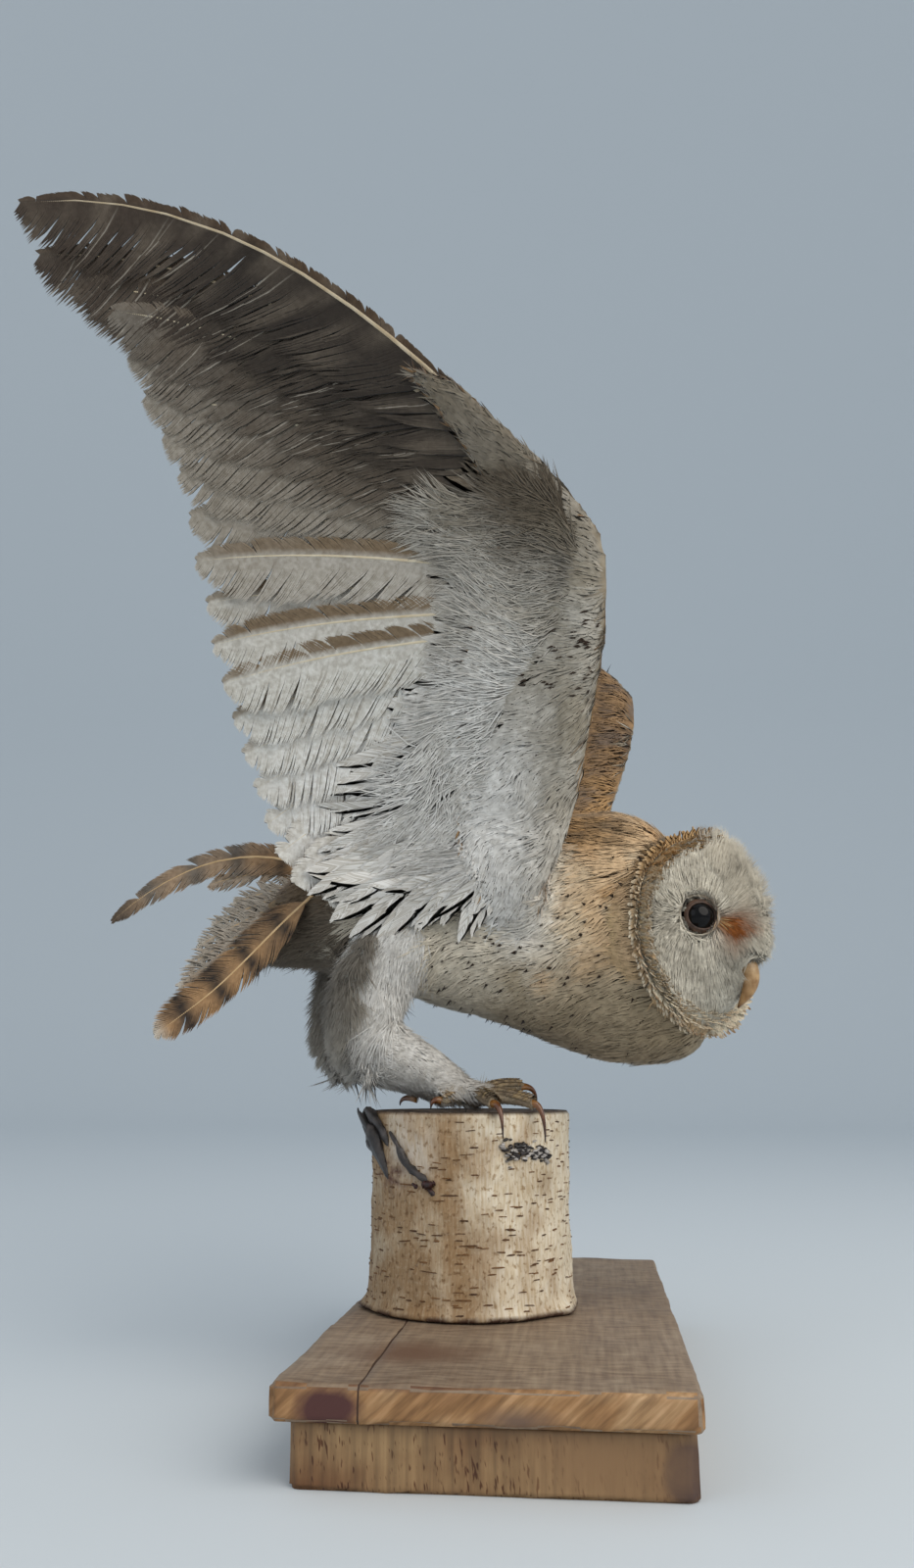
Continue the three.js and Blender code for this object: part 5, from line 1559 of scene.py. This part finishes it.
def bark():
    """The bark as one closed shell, rolled up from a flat sheet."""
    bm = bmesh.new()
    layer = bm.loops.layers.uv.new("bark")
    bmesh.ops.create_grid(bm, x_segments=LOG_CELLS[0], y_segments=LOG_CELLS[1], size=1.0, calc_uvs=True)
    around = np.array([180.0 * v.co.x for v in bm.verts])
    below = np.array([LOG_HEIGHT * (0.5 - 0.5 * v.co.y) for v in bm.verts])
    inside = ramp(below, 0, 3) * ramp(LOG_HEIGHT - below, 0, 4)
    rolled = log_place(around, below, bark_wear(around, below) * (0.3 + 0.7 * inside))
    for vert, place in zip(bm.verts, rolled):
        vert.co = place
    for face in bm.faces:
        for loop in face.loops:
            loop[layer].uv = (loop[layer].uv.x * 2 * math.pi * LOG_RADIUS * MM, loop[layer].uv.y * LOG_HEIGHT * MM)
    bmesh.ops.remove_doubles(bm, verts=bm.verts, dist=0.01)
    bmesh.ops.recalc_face_normals(bm, faces=bm.faces)
    bmesh.ops.solidify(bm, geom=bm.faces[:] + bm.edges[:] + bm.verts[:], thickness=BARK_WALL)
    made = close_row_piece(bm, "birch_bark", BIRCH_BARK, ("log",))
    co = np.array([v.co[:] for v in made.data.vertices]) / MM
    angle = np.degrees(np.arctan2(co[:, 1], co[:, 0] - LOG_AXIS))
    tone = bark_tint_with_painted_light(angle, LOG_TOP[2] - co[:, 2])
    layer = made.data.color_attributes.new("tint", "FLOAT_COLOR", "POINT")
    layer.data.foreach_set("color", np.concatenate([tone, np.ones((len(tone), 1))], -1).astype(np.float32).ravel())


def close_row_piece(bm, name, material, replaced=(), smooth=True):
    """Turns a bmesh in the frame's millimetres into a piece."""
    bmesh.ops.scale(bm, vec=(MM, MM, MM), verts=bm.verts)
    bmesh.ops.recalc_face_normals(bm, faces=bm.faces)
    mesh = bpy.data.meshes.new(name)
    bm.to_mesh(mesh)
    bm.free()
    if smooth:
        mesh.shade_smooth()
    return piece(name, mesh, material, replaced)


def log_core():
    """The wood inside the bark, whose sawn top shows."""
    bm = bmesh.new()
    tall = LOG_HEIGHT - CORE_DROP - 0.3
    radius = LOG_RADIUS - BARK_WALL + 0.2
    bmesh.ops.create_cone(bm, cap_ends=True, segments=120, radius1=radius - 1.5, radius2=radius, depth=tall,
                          matrix=Matrix.Translation((LOG_AXIS, 0, PLATE_TOP + 0.3 + tall / 2)))
    top = [face for face in bm.faces if face.normal.z > 0.9]
    for _ in range(12):
        bmesh.ops.inset_region(bm, faces=top, thickness=3.4, depth=0.0)
    for vert in bm.verts:
        reach = math.hypot(vert.co.x - LOG_AXIS, vert.co.y)
        angle = math.atan2(vert.co.y, vert.co.x - LOG_AXIS)
        if vert.co.z > LOG_TOP[2] - 5 and reach < radius - 1:
            vert.co.z += 0.16 * float(ripple([vert.co.x, vert.co.y, 0], 6, 220))
        swell = 1 + 0.008 * math.sin(2 * angle + 0.6) + 0.006 * math.sin(5 * angle)
        vert.co.x = LOG_AXIS + (vert.co.x - LOG_AXIS) * swell
        vert.co.y *= swell
    close_row_piece(bm, "log_sawn_wood", SAWN_END, smooth=False)


def log_strips(name, stations, tone, material, seed, shape=QUILL, rough=0.22):
    """Ridges on the bark: each a list of (angle, below, off, width, depth) stations."""
    draw = np.random.default_rng(seed)
    share = np.linspace(0, 1, shape.rings)
    rows = []
    for strip in stations:
        keyed = [(i / (len(strip) - 1), *station) for i, station in enumerate(strip)]
        rows.append(through(keyed, share))
    rows = np.array(rows)
    centre = log_place(rows[..., 0], rows[..., 1], rows[..., 2])
    angle = np.radians(rows[..., 0])
    up = np.stack([np.cos(angle), np.sin(angle), 0 * angle], -1)
    wobble = 1 + rough * draw.normal(0, 1, rows.shape[:2])
    tint = tone(draw, rows)
    patch = np.stack([share + 0 * rows[..., 0], 0 * rows[..., 0] + (np.arange(len(rows)) + 0.5)[:, None] / len(rows)], -1)
    joined_strands(name, shape, unplaced(centre * MM), Skin.turned(up), np.abs(rows[..., 3] * wobble),
                   np.abs(rows[..., 4] * wobble), tint, patch, (0.0, 0.4 / len(rows)), material, softness=0.1)


def black_tone(draw, rows):
    tone = over(linear("#2A2524"), "#5B5350", draw.uniform(0, 0.8, rows.shape[:2]))
    return tone


def lenticels():
    """Short level pores of the bark, each a thin raised brown line."""
    draw = np.random.default_rng(230)
    count = 420
    angle = draw.uniform(-180, 180, count)
    below = draw.uniform(4, LOG_HEIGHT - 3, count)
    clear = near_spot(angle, below, -125, 14, 16, 14) + near_spot(angle, below, -50, 17, 16, 7)
    keep = clear < 0.4
    angle, below = angle[keep], below[keep]
    length = draw.uniform(2.6, 4.6, len(angle)) * (1 + (draw.uniform(0, 1, len(angle)) > 0.85) * 0.9)
    t = (PLUME_RUN - 0.5)[None]
    turned = angle[:, None] + np.degrees(length[:, None] * t / LOG_RADIUS)
    tilt = draw.normal(0, 0.05, (len(angle), 1)) * length[:, None] * t
    centre = log_place(turned, below[:, None] + tilt, bark_wear(turned, below[:, None] + 0 * turned) + 0.12)
    a = np.radians(turned)
    up = np.stack([np.cos(a), np.sin(a), 0 * a], -1)
    wide = draw.uniform(0.45, 0.9, (len(angle), 1)) * np.array([0.15, 0.7, 1, 0.9, 1, 0.6, 0.0])
    tone = over(linear("#8A6238"), "#5A3F28", draw.uniform(0, 1, len(angle)))
    patch = np.stack([0.5 + turned / 360, 1 - (below[:, None] + 0 * turned) / LOG_HEIGHT], -1)
    joined_strands("bark_lenticels", PLUME, unplaced(centre * MM), Skin.turned(up), wide, 0.45, tone[:, None], patch,
                   (0.0, 0.01), BIRCH_PORE, softness=0.1)


# Lenticels: corky pores, rough and dark.
BIRCH_PORE = finish_of("birch_lenticel_cork", tinted("#B5A99C", "#FFFFFF", 0.8), 0.8)


def crust():
    """A crusted scab of black and white flakes where a branch was."""
    draw = np.random.default_rng(240)
    count = 110
    angle = draw.uniform(-67, -35, count)
    below = 17 + draw.normal(0, 1, count) * np.where(angle < -60, 2.6, 1.7) + 0.08 * (angle + 50)
    length = draw.uniform(1.2, 3.6, count)
    lean = draw.uniform(-0.5, 0.5, (count, 1))
    t = (PLUME_RUN - 0.5)[None]
    turned = angle[:, None] + np.degrees(length[:, None] * t * np.cos(lean) / LOG_RADIUS)
    down = below[:, None] + length[:, None] * t * np.sin(lean)
    centre = log_place(turned, down, 0.4 + draw.uniform(0, 0.9, (count, 1)))
    a = np.radians(turned)
    up = np.stack([np.cos(a), np.sin(a), 0 * a], -1)
    wide = draw.uniform(0.8, 2.0, (count, 1)) * np.array([0.3, 0.9, 1, 1.1, 0.9, 0.5, 0.0])
    dark = draw.uniform(0, 1, count) < 0.5
    tone = np.where(dark[:, None], linear("#332B2A"), linear("#D8D2CC"))
    patch = np.stack([0.5 + turned / 360, 1 - down / LOG_HEIGHT], -1)
    joined_strands("bark_scab", PLUME, unplaced(centre * MM), Skin.turned(up), wide, 0.9, tone[:, None], patch,
                   (0.0, 0.01), SCAR, softness=0.1)


bark()
log_core()
lenticels()
crust()
log_strips("bark_black_ridges",
           [[(-133.6, 8.6, 0.8, 1.4, 1.6), (-127, 14, 1.2, 2.6, 2.8), (-121.6, 20.7, 1.2, 2.8, 3.0), (-114, 25.6, 1.3, 3.2, 3.0),
             (-107.6, 28.4, 0.8, 2.4, 2.0)],
            [(-166, -0.8, 7.6, 1.4, 1.0), (-160, 3, 5.4, 4.0, 2.2), (-152, 9, 3.2, 7.0, 3.4), (-145, 17, 1.6, 6.2, 3.0),
             (-139, 24, 0.8, 3.4, 2.0), (-136, 29, 0.4, 1.6, 1.0)],
            [(-171, -0.2, 2.6, 2.2, 3.0), (-163, 5, 3.2, 5.0, 4.2), (-154, 13, 2.0, 5.6, 4.0), (-149, 20, 0.8, 3.4, 2.0)],
            [(-160, -0.6, 3.4, 2.4, 4.0), (-150, 3, 2.0, 4.4, 3.0), (-141, 9, 0.8, 4.2, 2.0), (-136, 15, 0.3, 2.0, 1.2)]],
           black_tone, SCAR, 250)
log_strips("bark_resin_blobs",
           [[(-111, 29.6, 0.6, 2.0, 1.6), (-107, 30.2, 1.2, 3.6, 2.8), (-103.5, 29.0, 0.6, 2.0, 1.6)],
            [(-108, 31.5, 0.3, 1.2, 0.9), (-105.5, 33.2, 0.6, 2.0, 1.4), (-104, 34.4, 0.3, 0.8, 0.7)],
            [(-117.5, 29.8, 0.3, 1.0, 0.9), (-115.5, 30.8, 0.5, 1.5, 1.2), (-114, 31.4, 0.3, 0.8, 0.7)]],
           lambda draw, rows: over(linear("#5A2A22"), "#2C1C1A", draw.uniform(0, 1, rows.shape[:2])), SCAR, 251)


# ---------------------------------------------------------------- the base boards
PLATE_BOX = ((-72.0, -150.5, 21.5), (72.0, 150.5, 33.5))
BLOCK_BOX = ((-66.0, -145.5, 0.0), (70.0, 145.5, 21.5))
PLATE_JOINT = -41.4
CUT_EVERY = 7.0


def blot(tree, place, size, wobble=0.35, fine_mm=3.0):
    """1 in the middle of a ragged patch at a place of the frame and 0 outside it, sizes in mm along each axis. The
    patches are stains; one of them is also painted shade.
    """
    spot = add(tree, "TexCoord").outputs["Object"]
    away = tuple(-p / s for p, s in zip(place, size))
    mapped = add(tree, "Mapping", {"Vector": spot, "Scale": tuple(1 / (s * MM) for s in size), "Location": away})
    ball = add(tree, "TexGradient", {"Vector": mapped.outputs["Vector"]}, gradient_type="SPHERICAL").outputs["Fac"]
    rough = add(tree, "Math", {0: object_noise(tree, fine_mm).outputs["Fac"], 1: wobble, 2: -wobble / 2},
                operation="MULTIPLY_ADD").outputs[0]
    return add(tree, "Math", {0: ball, 1: rough}, operation="ADD").outputs[0]


def stain_and_painted_shade(tree, base, place, size, colour, start=0.15, end=0.5, **more):
    share = add(tree, "MapRange", {"Value": blot(tree, place, size, **more), "From Min": start, "From Max": end}).outputs[0]
    return mix(tree, share, base, rgba(colour))


def joint_line(tree, base, width_mm=0.35):
    """A dark glue line along the board where two planks meet."""
    across = add(tree, "SeparateXYZ", {"Vector": add(tree, "TexCoord").outputs["Object"]}).outputs["X"]
    wander = add(tree, "Math", {0: object_noise(tree, 9).outputs["Fac"], 1: 0.0012, 2: -0.0006}, operation="MULTIPLY_ADD")
    across = add(tree, "Math", {0: across, 1: wander.outputs[0]}, operation="ADD").outputs[0]
    off = add(tree, "Math", {0: across, 1: PLATE_JOINT * MM, 2: width_mm * MM}, operation="COMPARE").outputs[0]
    return mix(tree, off, base, rgba("#40291B"))


def plate_top_colour(tree):
    grain = ramp_node(tree, object_noise(tree, 1.1, (1, 0.07, 1), 4).outputs["Fac"],
                      [(0.32, "#6D5848"), (0.55, "#94806B"), (0.7, "#A79680")])
    cloud = ramp_node(tree, object_noise(tree, 26, (1, 0.7, 1), 4).outputs["Fac"],
                      [(0.34, "#A38D7C"), (0.52, "#E6DACB"), (0.68, "#FFFFFF")])
    base = mix(tree, 1.0, grain, cloud, "MULTIPLY")
    base = mix(tree, 0.55, base, ramp_node(tree, object_noise(tree, 1.6, (0.35, 1.4, 1), 3).outputs["Fac"],
                                           [(0.3, "#75614F"), (0.7, "#A8957E")]))
    base = stain_and_painted_shade(tree, base, (-30, -100, 33), (34, 26, 20), "#6B4F3C", 0.1, 0.8, fine_mm=6)
    return joint_line(tree, base)


def turned_noise(tree, angle, wide_mm, long_mm, detail=3.0):
    """Noise streaks on a front face, leaning by angle."""
    place = add(tree, "TexCoord").outputs["Object"]
    leant = add(tree, "Mapping", {"Vector": place, "Rotation": (0.0, math.radians(angle), 0.0)}).outputs["Vector"]
    stretch = (0.5 / (wide_mm * MM), 0.5 / (wide_mm * MM), 0.5 / (long_mm * MM))
    mapped = add(tree, "Mapping", {"Vector": leant, "Scale": stretch}).outputs["Vector"]
    return add(tree, "TexNoise", {"Vector": mapped, "Scale": 1.0, "Detail": detail}).outputs["Fac"]


def plate_end_colour(tree):
    base = ramp_node(tree, turned_noise(tree, -48, 0.9, 9), [(0.3, "#8C6C4A"), (0.5, "#AD8A62"), (0.68, "#C4A079")])
    cloud = ramp_node(tree, turned_noise(tree, -48, 8, 20, 4), [(0.32, "#A58F79"), (0.5, "#DFD0BC"), (0.64, "#FFFFFF")])
    base = mix(tree, 1.0, base, cloud, "MULTIPLY")
    base = stain_and_painted_shade(tree, base, (-52, -150, 26), (15, 14, 9), "#4E2B27", 0.1, 0.5)
    base = stain_and_painted_shade(tree, base, (-30, -150, 33.5), (60, 14, 2.4), "#5B3D2E", 0.1, 0.9)
    base = stain_and_painted_shade(tree, base, (12, -150, 24), (20, 14, 6), "#6E5645", 0.1, 0.9)
    return joint_line(tree, base, 0.3)


def block_colour_with_painted_shade(tree):
    base = ramp_node(tree, turned_noise(tree, 0, 1.1, 16), [(0.3, "#7C6243"), (0.5, "#937550"), (0.7, "#A5865E")])
    flecks = ramp_node(tree, turned_noise(tree, 6, 0.45, 2.2, 1.0), [(0.3, "#9A7450"), (0.39, "#FFFFFF")])
    base = mix(tree, 1.0, base, flecks, "MULTIPLY")
    cloud = ramp_node(tree, object_noise(tree, 17, (0.7, 1, 1.3), 4).outputs["Fac"], [(0.32, "#A87F5C"), (0.6, "#FFFFFF")])
    base = mix(tree, 0.8, base, mix(tree, 1.0, base, cloud, "MULTIPLY"))
    base = stain_and_painted_shade(tree, base, (66, -145, 9), (9.5, 16, 12), "#3E2B2A", 0.05, 0.35)
    base = stain_and_painted_shade(tree, base, (40, -145, 12), (38, 16, 22), "#8A6A48", 0.0, 0.9)
    # A darker band along the top of the block: partly stain, partly painted shade under the plate's overhang.
    return stain_and_painted_shade(tree, base, (0, -145, 23), (110, 16, 7), "#75593F", 0.1, 1.0)


# Planed hardwood, old and handled: brown-grey top, dull, the grain standing a little.
PLATE_TOP_WOOD = finish_of("old_planed_hardwood_dull", plate_top_colour, 0.66,
                           normal=lambda tree: bump(tree, object_noise(tree, 0.9, (1, 0.1, 1)).outputs["Fac"], 0.35, 0.4))
# Sawn ends of the plate: open grain, leaning saw marks.
PLATE_END_WOOD = finish_of("old_sawn_hardwood_end", plate_end_colour, 0.7,
                           normal=lambda tree: bump(tree, turned_noise(tree, -48, 0.7, 8), 0.45, 0.4))
# The block: paler wood with short dark rays. Its tone is its own wood darkened in part as painted shade under the
# plate, and a band along its top is darker still, partly stain and partly painted shade.
BLOCK_WOOD = finish_of("beech_block_rayed", block_colour_with_painted_shade, 0.62,
                       normal=lambda tree: bump(tree, turned_noise(tree, 0, 0.8, 10), 0.4, 0.35))


def board(name, box, corner, edge, materials, seed, groove=None):
    """A board with rounded worn edges and slightly uneven faces."""
    low, high = (np.array(side) for side in box)
    bm = bmesh.new()
    bmesh.ops.create_cube(bm, size=1.0)
    bmesh.ops.scale(bm, vec=high - low, verts=bm.verts)
    bmesh.ops.translate(bm, vec=(low + high) / 2, verts=bm.verts)
    upright = [e for e in bm.edges if abs(e.verts[0].co.z - e.verts[1].co.z) > 1]
    bmesh.ops.bevel(bm, geom=upright, offset=corner, segments=5, profile=0.5, affect="EDGES", material=-1)
    rims = [e for e in bm.edges if abs(e.verts[0].co.z - e.verts[1].co.z) < 0.01 and len(e.link_faces) == 2
            and abs(e.link_faces[0].normal.z - e.link_faces[1].normal.z) > 0.5]
    bmesh.ops.bevel(bm, geom=rims, offset=edge, segments=3, profile=0.5, affect="EDGES", material=-1)
    cuts = [(x, 0) for x in np.arange(low[0] + 6, high[0] - 5, CUT_EVERY)]
    cuts += [(y, 1) for y in np.arange(low[1] + 6, high[1] - 5, CUT_EVERY)]
    cuts += [(z, 2) for z in np.linspace(low[2] + edge + 1.0, high[2] - edge - 1.0, 4)]
    if groove is not None:
        cuts += [(groove + step, 0) for step in (-0.5, 0.0, 0.5)]
    for place, axis in cuts:
        normal = [0.0, 0.0, 0.0]
        normal[axis] = 1.0
        bmesh.ops.bisect_plane(bm, geom=bm.verts[:] + bm.edges[:] + bm.faces[:], plane_co=[v * place for v in normal],
                               plane_no=normal)
    bm.normal_update()
    co = np.array([v.co[:] for v in bm.verts])
    ways = np.array([v.normal[:] for v in bm.verts])
    worn = (np.abs(ways).max(-1) < 0.93) * 0.45
    shift = 0.28 * ripple(co, 26, seed) + 0.12 * ripple(co, 7, seed + 1) - worn * (1 + ripple(co, 11, seed + 2))
    flat = (co[:, 2] < low[2] + 0.01) | ((co[:, 2] > high[2] - 0.01) & (np.hypot(co[:, 0] - LOG_AXIS, co[:, 1]) < 52))
    shift[flat] = 0.0
    if groove is not None:
        shift -= 0.45 * (np.abs(co[:, 0] - groove) < 0.1) * ((ways[:, 2] > 0.5) | (ways[:, 1] < -0.5)) * ~flat
    for vert, move in zip(bm.verts, ways * shift[:, None]):
        vert.co += Vector(move)
    bm.normal_update()
    for face in bm.faces:
        face.material_index = 1 if abs(face.normal.y) > 0.7 else 0
    made = close_row_piece(bm, f"{name}_board", materials[0], (name,), smooth=False)
    made.data.materials.append(materials[1])
    for polygon in made.data.polygons:
        polygon.use_smooth = True
    return made


board("base_plate", PLATE_BOX, 3.2, 1.5, (PLATE_TOP_WOOD, PLATE_END_WOOD), 260, PLATE_JOINT)
board("base_block", BLOCK_BOX, 4.0, 1.2, (BLOCK_WOOD, BLOCK_WOOD), 270)


# ---------------------------------------------------------------- camera, floor and light
LENS = 27.0
SENSOR = 36.0
CAMERA_AT = (0.0376, -0.573, 0.1315)
CAMERA_TURN = 6.2
CAMERA_PITCH = 14.21

camera_data = bpy.data.cameras.new("camera")
camera_data.lens = LENS
camera_data.sensor_width = SENSOR
camera = bpy.data.objects.new("camera", camera_data)
camera.location = CAMERA_AT
camera.rotation_euler = (math.radians(90 + CAMERA_PITCH), 0.0, math.radians(CAMERA_TURN))
bpy.context.scene.collection.objects.link(camera)
bpy.context.scene.camera = camera


def room():
    """A pale floor that curves up into a pale wall."""
    bm = bmesh.new()
    front = [bm.verts.new((x, -7.0, 0.0)) for x in (-7.0, 7.0)]
    edge = bm.edges.new(front)
    turn = 2.0
    wall_at = 5.0
    grown = bmesh.ops.extrude_edge_only(bm, edges=[edge])["geom"]
    bmesh.ops.translate(bm, verts=[v for v in grown if isinstance(v, bmesh.types.BMVert)], vec=(0, 7.0 + wall_at - turn, 0))
    swept = bmesh.ops.spin(bm, geom=[e for e in grown if isinstance(e, bmesh.types.BMEdge)], cent=(0, wall_at - turn, turn),
                           axis=(1, 0, 0), angle=math.radians(90), steps=16, use_merge=False)
    top = [e for e in swept["geom_last"] if isinstance(e, bmesh.types.BMEdge)]
    grown = bmesh.ops.extrude_edge_only(bm, edges=top)["geom"]
    bmesh.ops.translate(bm, verts=[v for v in grown if isinstance(v, bmesh.types.BMVert)], vec=(0, 0, 6.0))
    bmesh.ops.recalc_face_normals(bm, faces=bm.faces)
    mesh = bpy.data.meshes.new("room")
    bm.to_mesh(mesh)
    bm.free()
    mesh.shade_smooth()
    made = bpy.data.objects.new("room", mesh)
    mesh.materials.append(finish_of("studio_paper_matte", rgba("#D3DADF"), 0.9))
    bpy.context.scene.collection.objects.link(made)


room()


def soft_light(name, place, aim, size, power, colour):
    data = bpy.data.lights.new(name, "AREA")
    data.shape = "DISK"
    data.size = size
    data.energy = power
    data.color = linear(colour)
    lamp = bpy.data.objects.new(name, data)
    lamp.location = place
    lamp.rotation_euler = (Vector(place) - Vector(aim)).to_track_quat("Z", "Y").to_euler()
    bpy.context.scene.collection.objects.link(lamp)


soft_light("key", (0.9, -0.9, 1.1), (0.0, 0.0, 0.25), 1.8, 17.5, "#FFF8EE")
soft_light("fill", (-1.1, -1.1, 0.9), (0.0, 0.0, 0.25), 1.2, 2.0, "#F2F5FF")
world = bpy.data.worlds.new("world")
world.use_nodes = True
world.node_tree.nodes["Background"].inputs["Color"].default_value = rgba("#DDE4EA")
world.node_tree.nodes["Background"].inputs["Strength"].default_value = 0.74
bpy.context.scene.world = world
bpy.context.scene.view_settings.view_transform = "Standard"
